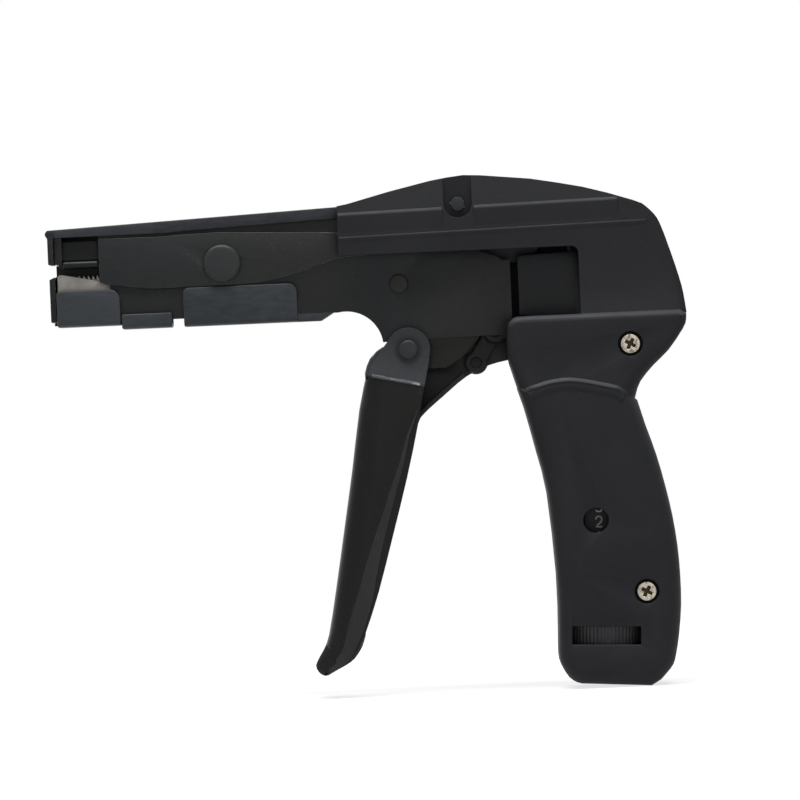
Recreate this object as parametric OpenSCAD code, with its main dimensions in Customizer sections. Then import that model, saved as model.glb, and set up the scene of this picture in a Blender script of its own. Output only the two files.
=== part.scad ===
// Cable tie tensioning tool: a pistol-shaped hand tool that pulls a cable tie tight and cuts its tail.
// +X points to the grip, +Z up, the barrel lies along X, and the tie enters from the -Y side at the nose.
// The origin is the middle of the grip's base face. Lengths are millimetres.

/* [Grip] */
// Height of the grip from its base to its ledge
grip_h = 104.3; // [100:0.1:110]
// Width of the grip across its side panels
grip_w = 25; // [24:0.1:27]
// Distance of the grip's front edge ahead of the origin
grip_front = 15.1; // [14.8:0.1:16.5]
// Distance of the grip's back edge behind the origin
grip_back = 19.5; // [18.5:0.1:21]
// Distance of the grip's narrow neck behind the origin
neck_back = 9.1; // [8.5:0.1:10]
// Distance of the ledge's front end ahead of the origin
ledge_front = 26.2; // [25.8:0.1:27.5]
// Thickness of the grip's wall
wall = 2.2; // [1.8:0.1:2.4]
// Radius of the grip's long edges
grip_round = 4.5; // [3.5:0.1:5]
// Radius of the ledge's edge
ledge_round = 1.9; // [1.4:0.1:2.2]
// Height by which the lower panel stands proud
panel_step = 0.5; // [0.3:0.05:0.8]
// Radius of the lower panel's upper edge
panel_round = 1.2; // [0.8:0.1:1.6]
// Slope of the base face in degrees
base_slope = 4; // [2:0.5:5]
// Distance of the base face's front end ahead of the origin
base_front = 9.4; // [8.5:0.1:10]
// Distance of the base face's back end behind the origin
base_back = 10.2; // [9:0.1:11]

/* [Upper housing] */
// Distance of the upper housing's front edge ahead of the origin
housing_front = 72.4; // [70:0.1:75]
// Distance of the upper housing's back behind the origin
housing_back = 24.4; // [23.6:0.1:26]
// Height of the upper housing above the ledge
housing_h = 40.4; // [39.8:0.1:43]
// Width of the upper housing
housing_w = 20; // [19:0.1:21]
// Distance of the right window's back edge ahead of the origin
far_window_back = 25.8; // [25:0.1:26]
// Height of the housing's lower edge above the ledge, as a share of the housing's height
sill_share = 0.475; // [0.465:0.001:0.48]
// Distance of the side window's back edge ahead of the origin
window_back = 5.2; // [4.8:0.1:6]
// Radius of the side window's corner
window_round = 2; // [1:0.1:3]
// Height of the lower crease above the ledge, over the origin, as a share of the housing's height
crease_low_share = 0.626; // [0.6:0.001:0.64]
// Height of the upper crease above the ledge, over the origin, as a share of the housing's height
crease_high_share = 0.782; // [0.76:0.001:0.79]
// Slope of the side between the creases in degrees
bevel_low = 5.5; // [3:0.5:7]
// Slope of the side above the upper crease in degrees
bevel_high = 11; // [8:0.5:13]
// Slope of the creases along the housing in degrees
crease_slope = 1; // [0:0.25:1.5]

/* [Sheet steel] */
// Distance between the two frame plates
plate_gap = 6.8; // [6.6:0.05:7.2]
// Thickness of the frame and yoke plates
frame_t = 1.2; // [1:0.05:1.4]
// Thickness of the barrel plates
barrel_t = 1; // [0.8:0.05:1.2]
// Thickness of the cap and the guards
guard_t = 1.2; // [1:0.05:1.4]
// Distance of the plates' front edge ahead of the origin
nose_reach = 152.2; // [150:0.1:155]
// Height of the plates' lower edge above the ledge, as a share of the housing's height
floor_share = 0.0915; // [0.088:0.0005:0.095]
// Height of the frame plates at the nose, as a share of the housing's height
barrel_share = 0.621; // [0.618:0.001:0.63]
// Slope of the cap in degrees
cap_slope = 2.2; // [1.8:0.1:2.6]

/* [Tie slot] */
// Opening of the slot that takes the tie
slot_h = 3.4; // [3:0.1:3.6]
// Height of the slot's upper side above the ledge, as a share of the housing's height
slot_share = 0.47; // [0.466:0.001:0.474]
// Depth of the slot from the nose
slot_depth = 15.2; // [14:0.1:16]

/* [Trigger] */
// Length of the trigger from its pivot down to its tip
trigger_l = 90.6; // [86:0.1:94]
// Distance of the trigger's tip ahead of its pivot
trigger_reach = 29.3; // [28:0.1:31]
// Width of the trigger across its sides
trigger_w = 16.4; // [15.8:0.1:17.4]
// Thickness of the trigger's sheet
trigger_t = 1.2; // [1:0.05:1.4]
// Width by which each lip flares out
lip_flare = 1.4; // [1:0.1:1.8]
// Radius of the trigger's ears
ear_r = 6.2; // [5.8:0.1:6.6]
// Thickness of the trigger's ears
ear_t = 1.4; // [1.2:0.05:1.6]

/* [Pivots] */
// Distance of the trigger pin ahead of the origin
trigger_pin_x = 54; // [53:0.1:55]
// Drop of the trigger pin below the ledge
trigger_pin_drop = 7.9; // [7.4:0.1:8.4]
// Distance of the frame pin ahead of the origin
frame_pin_x = 55.9; // [55.5:0.1:56.5]
// Height of the frame pin above the ledge, as a share of the housing's height
frame_pin_share = 0.267; // [0.262:0.001:0.275]
// Distance of the top pin ahead of the origin
top_pin_x = 38.4; // [37.5:0.1:39.5]
// Height of the top pin above the ledge, as a share of the housing's height
top_pin_share = 0.802; // [0.798:0.001:0.81]
// Distance of the lever pin ahead of the origin
lever_pin_x = 2; // [1.8:0.1:2.3]
// Height of the lever pin above the ledge
lever_pin_up = 1.7; // [1.5:0.1:2]
// Height of the barrel rivet above the ledge, as a share of the housing's height
rivet_up_share = 0.46; // [0.456:0.001:0.464]
// Diameter of the barrel rivet's head
rivet_head_d = 10.6; // [9.6:0.1:11]
// Diameter of the trigger and frame pins
pin_d = 4; // [3.6:0.1:4.2]
// Diameter of the small link pins
link_pin_d = 3; // [2.6:0.1:3.2]

/* [Drive] */
// Distance of the push link's lower pin from the trigger pin
arm_r = 19.5; // [19:0.1:20]
// Length of the pull lever's lower arm
lever_low = 28; // [27.6:0.1:28.4]
// Length of the pull lever's upper arm, as a share of the housing's height
lever_high_share = 0.569; // [0.56:0.001:0.578]
// Swing of the pull lever in degrees
lever_swing = 22.6; // [22:0.1:23]
// Swing of the trigger in degrees
trigger_swing = 33; // [32:0.1:34]
// Thickness of the rod and the push link
core_t = 3; // [2.8:0.1:3.2]
// Thickness of the plates beside the rod
arm_t = 1.35; // [1.2:0.05:1.45]
// Radius of the cut-off lever's tail
tail_r = 27.2; // [26.8:0.1:27.4]

/* [Tension adjuster] */
// Distance of the knob's axis ahead of the origin
knob_x = 2; // [1.6:0.1:2.3]
// Height of the knob's middle above the origin
knob_z = 14; // [13.5:0.1:15]
// Tilt of the adjuster's axis in degrees
knob_tilt = 2.5; // [2:0.1:3]
// Diameter of the knob
knob_d = 21.6; // [21:0.1:22]
// Height of the knob
knob_h = 5; // [4.6:0.1:5.2]
// Width of the slot that shows the knob
knob_slot_w = 19.3; // [18:0.1:20]
// Number of ribs on the knob
knob_ribs = 60; // [40:2:70]
// Diameter of the tension screw
screw_d = 5; // [4.6:0.1:5.4]
// Travel of the carrier from one setting to the next
setting_step = 4.6; // [4.2:0.1:4.8]
// Diameter of the window that shows the setting
dial_window_d = 7.2; // [6.6:0.1:7.6]
// Outer diameter of the tension spring
spring_d = 9; // [8:0.1:9.6]
// Diameter of the tension spring's wire
spring_wire_d = 1.5; // [1.3:0.1:1.6]

/* [Housing screws] */
// Diameter of the screws' heads
screw_head_d = 5.4; // [5:0.1:5.8]
// Diameter of the screws' shanks
screw_shank_d = 3; // [2.8:0.1:3.2]
// Diameter of the counterbores over the heads
counterbore_d = 7; // [6.6:0.1:7.4]
// Diameter of the bosses that take the screws
boss_d = 8.4; // [8:0.1:8.8]

/* [Fits] */
// Radial clearance of a pin in its bore
pin_fit = 0.05; // [0.03:0.01:0.08]
// Clearance between parts that lie side by side
side_fit = 0.1; // [0.08:0.01:0.15]
// Clearance between parts that move past each other
run_gap = 0.4; // [0.3:0.05:0.5]

/* [Hidden] */
$fn = 48;
// Overrun of every cut past the surface it cuts
over = 1;
sill_up = sill_share * housing_h;
crease_low = crease_low_share * housing_h;
crease_high = crease_high_share * housing_h;
barrel_floor = floor_share * housing_h;
barrel_h = barrel_share * housing_h;
slot_up = slot_share * housing_h;
lever_high = lever_high_share * housing_h;

// Half widths of the layers, from the middle of the tool outwards
gap_out = plate_gap / 2;
frame_out = gap_out + frame_t;
barrel_out = frame_out + barrel_t;
guard_out = frame_out + guard_t;
core_out = core_t / 2;
arm_out = gap_out - side_fit;
arm_in = arm_out - arm_t;
ear_in = frame_out + 2 * side_fit;
ear_out = ear_in + ear_t;
pack_out = max(barrel_out, guard_out) + side_fit;
grip_out = grip_w / 2;
saddle_out = grip_out - panel_step;
housing_out = housing_w / 2;
cavity_out = saddle_out - wall;
trigger_out = trigger_w / 2;

// Centres of the pivots in the side view
trigger_c = [-trigger_pin_x, grip_h - trigger_pin_drop];
frame_c = [-frame_pin_x, grip_h + frame_pin_share * housing_h];
top_c = [-top_pin_x, grip_h + top_pin_share * housing_h];
lever_c = [-lever_pin_x, grip_h + lever_pin_up];
rivet_share = 0.412;
rivet_c = [-housing_front - rivet_share * (nose_reach - housing_front), grip_h + rivet_up_share * housing_h];
arm_angle = -trigger_swing * 0.4;
function arm_at(f) = trigger_c + arm_r * [cos(arm_angle + f * trigger_swing),
    sin(arm_angle + f * trigger_swing)];
function low_at(f) = lever_c - lever_low * [cos((0.5 - f) * lever_swing), sin((0.5 - f) * lever_swing)];
arm_c = arm_at(0);
low_c = low_at(0);
high_c = lever_c + lever_high * [-sin(lever_swing / 2), cos(lever_swing / 2)];
stroke = 2 * lever_high * sin(lever_swing / 2);
screw_top_c = [0.336 * housing_back, 0.914 * grip_h];
screw_low_c = [0.503 * grip_back, 0.248 * grip_h];

// Points along a smooth curve through the points p, with n steps between neighbours
function smooth(p, n) = concat([
    for (i = [0 : len(p) - 2], k = [0 : n - 1])
        let (a = p[max(i - 1, 0)], b = p[i], c = p[i + 1], d = p[min(i + 2, len(p) - 1)], t = k / n)
            (2 * b + (c - a) * t + (2 * a - 5 * b + 4 * c - d) * t * t + (3 * b - a - 3 * c + d) * t * t * t) / 2
], [p[len(p) - 1]]);

// Unit vector along v, and the same turned a quarter turn to the left
function unit(v) = v / norm(v);
function left(v) = [-v[1], v[0]];

// Shift that moves corner i of the closed outline p by one unit to the left of its edges
function corner_shift(p, i) =
    let (n = len(p), u = left(unit(p[i] - p[(i + n - 1) % n])), v = left(unit(p[(i + 1) % n] - p[i])))
        (u + v) / max(1 + u * v, 0.5);

// Outline p drawn in by d, or drawn out where d is negative, for points listed anticlockwise
function inset(p, d) = [for (i = [0 : len(p) - 1]) p[i] + d * corner_shift(p, i)];

// Points on an arc about c
function arc(c, r, a0, a1, n) = [for (k = [0 : n]) c + r * [cos(a0 + (a1 - a0) * k / n),
    sin(a0 + (a1 - a0) * k / n)]];

// Vector product, and the sum of the vectors in v
function cross3(a, b) = [a[1] * b[2] - a[2] * b[1], a[2] * b[0] - a[0] * b[2], a[0] * b[1] - a[1] * b[0]];
function total(v, i = 0) = i == len(v) - 1 ? v[i] : v[i] + total(v, i + 1);

// Whether the ring r turns clockwise as seen from the ring s
function turned(r, s) =
    let (n = len(r), normal = total([for (i = [1 : n - 2]) cross3(r[i] - r[0], r[i + 1] - r[0])]))
        normal * (total(s) - total(r)) < 0;

// Solid through rings of points that all have the same count
module loft(rings) {
    n = len(rings[0]);
    m = len(rings);
    rows = turned(rings[0], rings[1]) ? [for (k = [m - 1 : -1 : 0]) rings[k]] : rings;
    polyhedron(
        points = [for (r = rows, p = r) p],
        faces = concat(
            [[for (i = [0 : n - 1]) i]],
            [[for (i = [0 : n - 1]) m * n - 1 - i]],
            [for (k = [0 : m - 2], i = [0 : n - 1]) [k * n + i, (k + 1) * n + i, (k + 1) * n + (i + 1) % n]],
            [for (k = [0 : m - 2], i = [0 : n - 1]) [k * n + i, (k + 1) * n + (i + 1) % n,
                k * n + (i + 1) % n]]
        ),
        convexity = 6
    );
}

// Side-view shape given thickness from y0 to y1
module side(y0, y1) translate([0, y1, 0]) rotate([90, 0, 0]) linear_extrude(height = y1 - y0) children();

// Cylinder along Y about the side-view point c
module across(c, d, y0, y1) translate([c[0], y1, c[1]]) rotate([90, 0, 0]) cylinder(d = d, h = y1 - y0);

// The children and their mirror image on the other side of the tool
module pair() {
    children();
    mirror([0, 1, 0]) children();
}

// Straight strap of width w between side-view points
module strap(a, b, w) translate(a) rotate(atan2(b[1] - a[1],
    b[0] - a[0])) translate([0, -w / 2]) square([norm(b - a), w]);

// Disc at a side-view point
module disc(c, r) translate(c) circle(r = r);

// Frame of the adjuster: its axis through the knob is the children's Z axis
module adjuster() translate([-knob_x, 0, knob_z]) rotate([0, knob_tilt, 0]) children();

// Grip outline, anticlockwise from the front of the base
front_shares = [[1.013, 0.087], [1, 0.15], [0.993, 0.3]];
brow_shares = [[0.14, 0.52], [0.36, 0.633], [0.63, 0.755], [0.86, 0.84], [1, 0.9], [1, 0.955],
    [0.94, 0.985], [0.77, 0.998]];
rear_top_shares = [[0.99, 0.99], [0.985, 0.972], [0.92, 0.949], [0.64, 0.893], [0.353, 0.854],
    [0.105, 0.812], [0.01, 0.776]];
rear_low_shares = [[0.01, 0.755], [0.24, 0.694], [0.5, 0.612], [0.7, 0.53], [0.856, 0.45], [0.96, 0.368],
    [1, 0.288], [0.99, 0.207], [0.9, 0.127], [0.8, 0.075]];
heel_shares = [[0.66, 0.008], [0.754, 0.026], [0.846, 0.047]];
toe_shares = [[0.709, 0.01], [0.848, 0.024], [0.97, 0.055]];
base_line = [
    [-base_front, base_front * tan(base_slope)],
    [base_back, -base_back * tan(base_slope)]
];
grip_rear = smooth(concat(
    [for (s = heel_shares) [s[0] * grip_back, s[1] * grip_h]],
    [for (i = [len(rear_low_shares) - 1 : -1 : 0]) let (s = rear_low_shares[i]) [neck_back + s[0] * (grip_back - neck_back), s[1] * grip_h]],
    [for (i = [len(rear_top_shares) - 1 : -1 : 0]) let (s = rear_top_shares[i]) [neck_back + s[0] * (housing_back - neck_back), s[1] * grip_h]]
), 2);
grip_brow = smooth(concat(
    [for (i = [len(brow_shares) - 1 : -1 : 0]) let (s = brow_shares[i]) [-grip_front - s[0] * (ledge_front - grip_front), s[1] * grip_h]],
    [for (i = [len(front_shares) - 1 : -1 : 0]) let (s = front_shares[i]) [-grip_front * s[0],
        s[1] * grip_h]],
    [for (i = [len(toe_shares) - 1 : -1 : 0]) let (s = toe_shares[i]) [-grip_front * s[0], s[1] * grip_h]]
), 2);
grip_outline = concat(
    base_line,
    grip_rear,
    [[housing_back - ledge_round, grip_h], [-ledge_front + 3 * ledge_round, grip_h]],
    grip_brow
);

// Radius of the grip's edge at height z: tight along the ledge, full below it
function edge_round(z) =
    let (t = min(max((grip_h - 4 * ledge_round - z) / (4 * grip_round), 0), 1))
        ledge_round + (grip_round - ledge_round) * t;

function edge_rounds(p) = [for (q = p) edge_round(q[1])];

// Ring of the outline p where its edge, of radius r at each point, has turned by angle a towards the side face
function edge_ring(p, r, w, a) = [
    for (i = [0 : len(p) - 1])
        let (q = p[i] + r[i] * (1 - cos(a)) * corner_shift(p, i))
            [q[0], -w + r[i] * (1 - sin(a)), q[1]]
];

// Left half of a body with the outline p and its edge rounded by r at each point, out to the half width w
module rounded_half(p, r, w) loft(concat(
    [[for (q = p) [q[0], 0, q[1]]]],
    [for (a = [0 : 18 : 90]) edge_ring(p, r, w, a)]
));

// Lower grip panel: the grip's outline up to the arc under the ledge
arc_front_share = 0.815;
arc_top_share = 0.83;
arc_back_share = 0.762;
panel_back_c = [neck_back + panel_step, arc_back_share * grip_h];
panel_front_c = [-grip_front - 0.78 * (ledge_front - grip_front), (arc_front_share - 0.008) * grip_h];
panel_arc = smooth([
    [neck_back * 0.5, (arc_back_share + 0.6 * (arc_top_share - arc_back_share)) * grip_h],
    [-grip_front * 0.3, (arc_back_share + 0.9 * (arc_top_share - arc_back_share)) * grip_h],
    [-grip_front * 0.75, arc_top_share * grip_h],
    [-grip_front - 0.4 * (ledge_front - grip_front), arc_front_share * grip_h]
], 4);
panel_rear = [for (q = grip_rear) if (q[1] < panel_back_c[1] - grip_round) q];
panel_brow = [for (q = grip_brow) if (q[1] < panel_front_c[1] - grip_round) q];
panel_outline = concat(base_line, panel_rear, [panel_back_c], panel_arc, [panel_front_c], panel_brow);
panel_rounds = concat(
    edge_rounds(concat(base_line, panel_rear, [panel_back_c])),
    [for (q = panel_arc) panel_round],
    edge_rounds(concat([panel_front_c], panel_brow))
);

// Upper housing outline with its window's back edge at back, anticlockwise from the window's lower corner
roof_shares = [[0, 0.82], [0.03, 0.832], [0.152, 0.906], [0.274, 0.97], [0.322, 0.988], [0.37, 1],
    [0.42, 0.993], [0.477, 0.978], [0.563, 0.955], [0.644, 0.918], [0.716, 0.881], [0.787, 0.832],
    [0.858, 0.775]];
back_shares = [[0.885, 0.748], [0.906, 0.703], [0.925, 0.648], [0.938, 0.577], [0.951, 0.485],
    [0.972, 0.32], [0.989, 0.168], [0.996, 0.064], [1, -0.02]];
housing_l = housing_front + housing_back;
function roof_point(s) = [-housing_front + s[0] * housing_l, grip_h + s[1] * housing_h];
roof_run = [for (s = roof_shares) roof_point(s)];
back_run = smooth([for (i = [len(back_shares) - 1 : -1 : 0]) roof_point(back_shares[i])], 2);
function housing_outline(back) = concat(
    [[-back, grip_h - 2 * wall], [housing_back - 2 * wall, grip_h - 2 * wall]],
    back_run,
    [for (i = [len(roof_run) - 1 : -1 : 0]) roof_run[i]],
    [[-housing_front, grip_h + sill_up]],
    arc([-back - window_round, grip_h + sill_up - window_round], window_round, 90, 0, 6)
);

// Cut that leaves a sloping face above the line through c, which runs at angle lie in the side view
module bevel_cut(c, y, lie, slope) translate([c[0], -y, c[1]]) rotate([0, -lie, 0]) rotate([-slope, 0, 0])
    translate([-housing_l * 1.5, -housing_w, 0]) cube([housing_l * 3, housing_w, housing_h]);

bevel_break = housing_out - (crease_high - crease_low) * tan(bevel_low);
rear_crease_c = [0.567 * housing_back, grip_h + 0.59 * housing_h];
rear_crease_lie = -77.8;

// Recess round the top pin, open at the roof
recess_r = 4;
recess_deep = 2.8;
recess_floor = housing_out - recess_deep;
module top_recess() {
    across(top_c, 2 * recess_r, -housing_out - over, -recess_floor);
    translate([top_c[0] - recess_r, -housing_out - over, top_c[1]])
        cube([2 * recess_r, housing_out + over - recess_floor, housing_h]);
}

// Left half of the upper housing, solid inside
module upper_half(back) difference() {
    side(-housing_out, 0) polygon(housing_outline(back));
    bevel_cut([0, grip_h + crease_low], housing_out, crease_slope, bevel_low);
    bevel_cut([0, grip_h + crease_high], bevel_break, crease_slope, bevel_high);
    bevel_cut(rear_crease_c, housing_out, rear_crease_lie, bevel_low);
    top_recess();
}

room_low_share = 0.06;
room_high_share = 0.94;
// Room for the plate pack through the upper housing, and the open inside of the grip
grip_inset = inset(grip_outline, wall);
rear_count = len(base_line) + len(grip_rear);
grip_room = concat(
    [[-base_front, 2 * wall], [base_back, 1.6 * wall]],
    [for (i = [len(base_line) : rear_count - 1]) let (q = grip_inset[i]) if (q[1] > room_low_share * grip_h && q[1] < room_high_share * grip_h) q],
    [[housing_back - 3 * wall, grip_h - wall], [-ledge_front + wall, grip_h - wall]],
    [for (i = [rear_count : len(grip_inset) - 1]) let (q = grip_inset[i]) if (q[1] > room_low_share * grip_h && q[1] < room_high_share * grip_h) q]
);
mouth_drop = 14;
// Length of the roof's notch over the cap
roof_notch = 5.2;
module cavity(back) {
    side(-pack_out, over) {
        polygon(inset(housing_outline(back), wall));
        translate([-housing_front - over, grip_h + sill_up - over]) square([housing_front - window_back + 2 * wall + over, 3 * wall + over]);
        translate([-ledge_front - over, grip_h - mouth_drop]) square([ledge_front + grip_front / 2,
            mouth_drop + over]);
        translate([-back - over, grip_h - mouth_drop]) square([back - window_back + housing_back - wall,
            mouth_drop + sill_up]);
        polygon([
            [-housing_front - over, grip_h + sill_up],
            [-cap_back + run_gap, grip_h + sill_up],
            cap_line(-cap_back + run_gap, -side_fit),
            cap_line(-housing_front + roof_notch, -side_fit),
            [-housing_front + roof_notch, grip_h + housing_h],
            [-housing_front - over, grip_h + housing_h]
        ]);
    }
    side(-cavity_out, over) polygon(grip_room);
}

// Bosses inside the left half: round the screws, the top pin and the lever pin
lever_boss_d = 6;
recess_wall = 1.6;
module bosses() {
    for (c = [screw_top_c, screw_low_c]) across(c, boss_d, -cavity_out - wall / 2, 0);
    across(lever_c, lever_boss_d, -housing_out + wall, -frame_out);
    across(top_c, 2 * (recess_r + recess_wall), -recess_floor, -frame_out);
    collar_half();
}

// Collars above and below the knob that hold the tension screw in place
collar_t = 2;
collar_d = screw_d + 4 * wall;
module collar_half() adjuster() for (z = [knob_h / 2 + side_fit, -knob_h / 2 - side_fit - collar_t])
    translate([-collar_d / 2, -cavity_out - wall / 2, z]) cube([collar_d, cavity_out + wall / 2, collar_t]);

// Cuts that both halves share
module common_cuts() {
    adjuster() {
        translate([-knob_slot_w / 2, -grip_out - over, -knob_h / 2 - side_fit]) cube([knob_slot_w,
            grip_out, knob_h + 2 * side_fit]);
        translate([0, 0, -knob_h / 2 - side_fit]) cylinder(d = knob_d + 2 * run_gap,
            h = knob_h + 2 * side_fit);
        translate([0, 0, -knob_h]) cylinder(d = screw_d + 2 * pin_fit, h = 2 * knob_h);
    }
    across(lever_c, pin_d + 2 * pin_fit, -housing_out + wall, over);
    across(top_c, pin_d + 2 * pin_fit, -housing_out, over);
}

// Left half of the housing before its cuts, with its window's back edge at back
module shell_half(back) {
    difference() {
        union() {
            upper_half(back);
            resize([0, 0, 0]) union() {
                rounded_half(grip_outline, edge_rounds(grip_outline), saddle_out);
                rounded_half(panel_outline, panel_rounds, grip_out);
            }
        }
        cavity(back);
    }
    bosses();
}

dial_c = [-0.1845 * grip_back, 0.444 * grip_h];
screw_head_h = 2.2;
screw_deep = 2.9;
screw_seat = grip_out - screw_deep;
module housing_left() color([0.17, 0.17, 0.19]) difference() {
    shell_half(window_back);
    common_cuts();
    for (c = [screw_top_c, screw_low_c]) {
        across(c, counterbore_d, -grip_out - over, -screw_seat);
        across(c, screw_shank_d + 2 * pin_fit, -grip_out - over, over);
    }
    across(dial_c, dial_window_d, -grip_out - over, 0);
}

screw_reach = 6;
module housing_right() color([0.17, 0.17, 0.19]) mirror([0, 1, 0]) difference() {
    shell_half(far_window_back);
    common_cuts();
    for (c = [screw_top_c, screw_low_c]) across(c, screw_shank_d + 2 * pin_fit, -screw_reach - over, over);
}

// Pan-head screws with a cross recess
cross_w = 0.9;
cross_l = 3.2;
cross_deep = 1.2;
module housing_screws() color([0.75, 0.72, 0.66]) for (c = [screw_top_c, screw_low_c]) difference() {
    union() {
        across(c, screw_head_d, -screw_seat - screw_head_h, -screw_seat);
        across(c, screw_shank_d, -screw_seat, screw_reach);
    }
    translate([c[0], -screw_seat - screw_head_h, c[1]]) for (a = [30, 120]) rotate([0, a, 0])
        translate([-cross_l / 2, -over, -cross_w / 2]) cube([cross_l, cross_deep + over, cross_w]);
}

// Barrel places: s runs from the housing's front edge to the nose, t from the plates' lower edge up
barrel_l = nose_reach - housing_front;
function barrel(s, t) = [-housing_front - s * barrel_l, grip_h + barrel_floor + t * barrel_h];

// Nose places: s runs from the plates' front edge back by the slot's depth, t as for the barrel
function nose(s, t) = [-nose_reach + s * slot_depth, barrel(0, t)[1]];
cap_top_z = grip_h + barrel_floor + barrel_h + guard_t;
function cap_line(x, drop) = [x, cap_top_z + (x + nose_reach) * tan(cap_slope) - drop];

// Frame plates: the carriers of every pivot, open at the nose for the tie
throat_r = 10.4;
throat_c = [-housing_front + 0.106 * throat_r, grip_h - 0.644 * throat_r];
eye_r = 5.4;
plate_back = 24.4;
plate_drop = 5;
notch_shares = [[1.32, 0.98], [1.14, 0.897], [1.09, 0.846], [1, 0.841]];
tongue_r = 4.6;
module frame_shape() difference() {
    union() {
        polygon(concat(
            [[-nose_reach, grip_h + barrel_floor], [-plate_back * 1.95, grip_h + barrel_floor]],
            [[-plate_back * 1.95, grip_h - plate_drop], [-plate_back * 1.07, grip_h - 0.96 * plate_drop],
                [-plate_back, grip_h + 0.1 * plate_drop]],
            [for (i = [len(notch_shares) - 1 : -1 : 0]) let (s = notch_shares[i]) [-plate_back * s[0],
                grip_h + s[1] * sill_up]],
            [cap_line(-housing_front * 0.78, guard_t), cap_line(-nose_reach, guard_t)]
        ));
        polygon([
            [-housing_front - throat_r / 4, grip_h + barrel_floor + over],
            [-housing_front - throat_r / 4, grip_h - 1.16 * plate_drop],
            [-plate_back * 1.9, grip_h - plate_drop],
            [-plate_back * 1.9, grip_h + barrel_floor + over]
        ]);
        disc(trigger_c, eye_r);
        disc(top_c, tongue_r);
        strap(top_c, [top_c[0] - tongue_r / 2, grip_h + sill_up - 2 * tongue_r], 2 * tongue_r - over);
        strap([top_c[0] - 0.43 * tongue_r, top_c[1] - 2 * tongue_r],
            cap_line(-housing_front * 0.78, guard_t + tongue_r), 2 * tongue_r);
    }
    disc(throat_c, throat_r);
    translate([throat_c[0] - 2 * throat_r, throat_c[1] - 2 * throat_r]) square([2 * throat_r,
        2.98 * throat_r]);
    disc(trigger_c, pin_d / 2 + pin_fit);
    disc(frame_c, pin_d / 2 + pin_fit);
    disc(top_c, pin_d / 2 + pin_fit);
    disc(rivet_c, rivet_d / 2 + pin_fit);
}
rivet_d = 5.2;

// Window of the near plate that shows the anvil, and the slot below it
slot_low = slot_up - slot_h;
mouth_front = 2;
far_mouth = 0.6;
mouth_rise = 1.2;
jaw_room = 4.4;
near_window_l = 10.4;
near_window_up = 0.0917 * barrel_h;
near_window_h = 0.263 * barrel_h;
module slot_opening(depth, front) {
    translate([-nose_reach - over, grip_h + slot_low - jaw_room]) square([depth + over, slot_h + jaw_room]);
    translate([-nose_reach - over, grip_h + slot_up - over]) square([front + over, mouth_rise + over]);
}
module frame_plate_left() color([0.2, 0.2, 0.21]) side(-frame_out, -gap_out) difference() {
    frame_shape();
    slot_opening(slot_depth, mouth_front);
    translate([-nose_reach + mouth_front, grip_h + slot_up + near_window_up]) square([near_window_l,
        near_window_h]);
    translate([-nose_reach + mouth_front, grip_h + slot_up - over]) square([slot_depth - mouth_front,
        near_window_up + over]);
}
module frame_plate_right() color([0.2, 0.2, 0.21]) side(gap_out, frame_out) difference() {
    frame_shape();
    slot_opening(far_mouth, far_mouth);
}

// Barrel plates: outer skins riveted over the frame plates and held in the housing's front
skin_low = smooth([nose(0.92, 0.415), barrel(0.735, 0.375), barrel(0.66, 0.347), barrel(0.56, 0.347),
    barrel(0.43, 0.352), barrel(0.28, 0.363), barrel(0.12, 0.475), barrel(0.01, 0.588), barrel(-0.12,
    0.62)], 3);
skin_front_share = 0.815;
module skin_shape() difference() {
    polygon(concat(
        [nose(skin_front_share, 0.93), nose(skin_front_share, 0.44)],
        skin_low,
        [barrel(-0.12, 0.86), barrel(0, 0.885), barrel(0.27, 0.925), barrel(0.42, 0.945), barrel(0.55,
            0.937), barrel(0.63, 0.925)]
    ));
    disc(rivet_c, rivet_d / 2 + pin_fit);
}
module barrel_plate_left() color([0.22, 0.22, 0.22]) side(-barrel_out, -frame_out) skin_shape();
module barrel_plate_right() color([0.22, 0.22, 0.22]) side(frame_out, barrel_out) skin_shape();

// Section of a folded channel with its bends: inner half width w, depth h, sheet t
function fold(w, h, t) = concat(
    arc([-w, t], t, 180, 270, 4),
    arc([w, t], t, -90, 0, 4),
    [[w + t, h], [w, h], [w, t], [-w, t], [-w, h], [-w - t, h]]
);

// Channel along X from x0 to x1 with its closed side at height z and its flanges rising by h
module channel(x0, x1, z, h, t) translate([x0, 0, z]) rotate([90, 0, 90]) linear_extrude(height = x1 - x0)
    polygon(fold(frame_out, h, t));

// Rectangle from corner a to corner b with its upper corners rounded by r
module rounded_top(a, b, r) polygon(concat(
    [a, [b[0], a[1]]],
    arc([b[0] - r[1], b[1] - r[1]], r[1], 0, 90, 6),
    arc([a[0] + r[0], b[1] - r[0]], r[0], 90, 180, 6)
));

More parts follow.
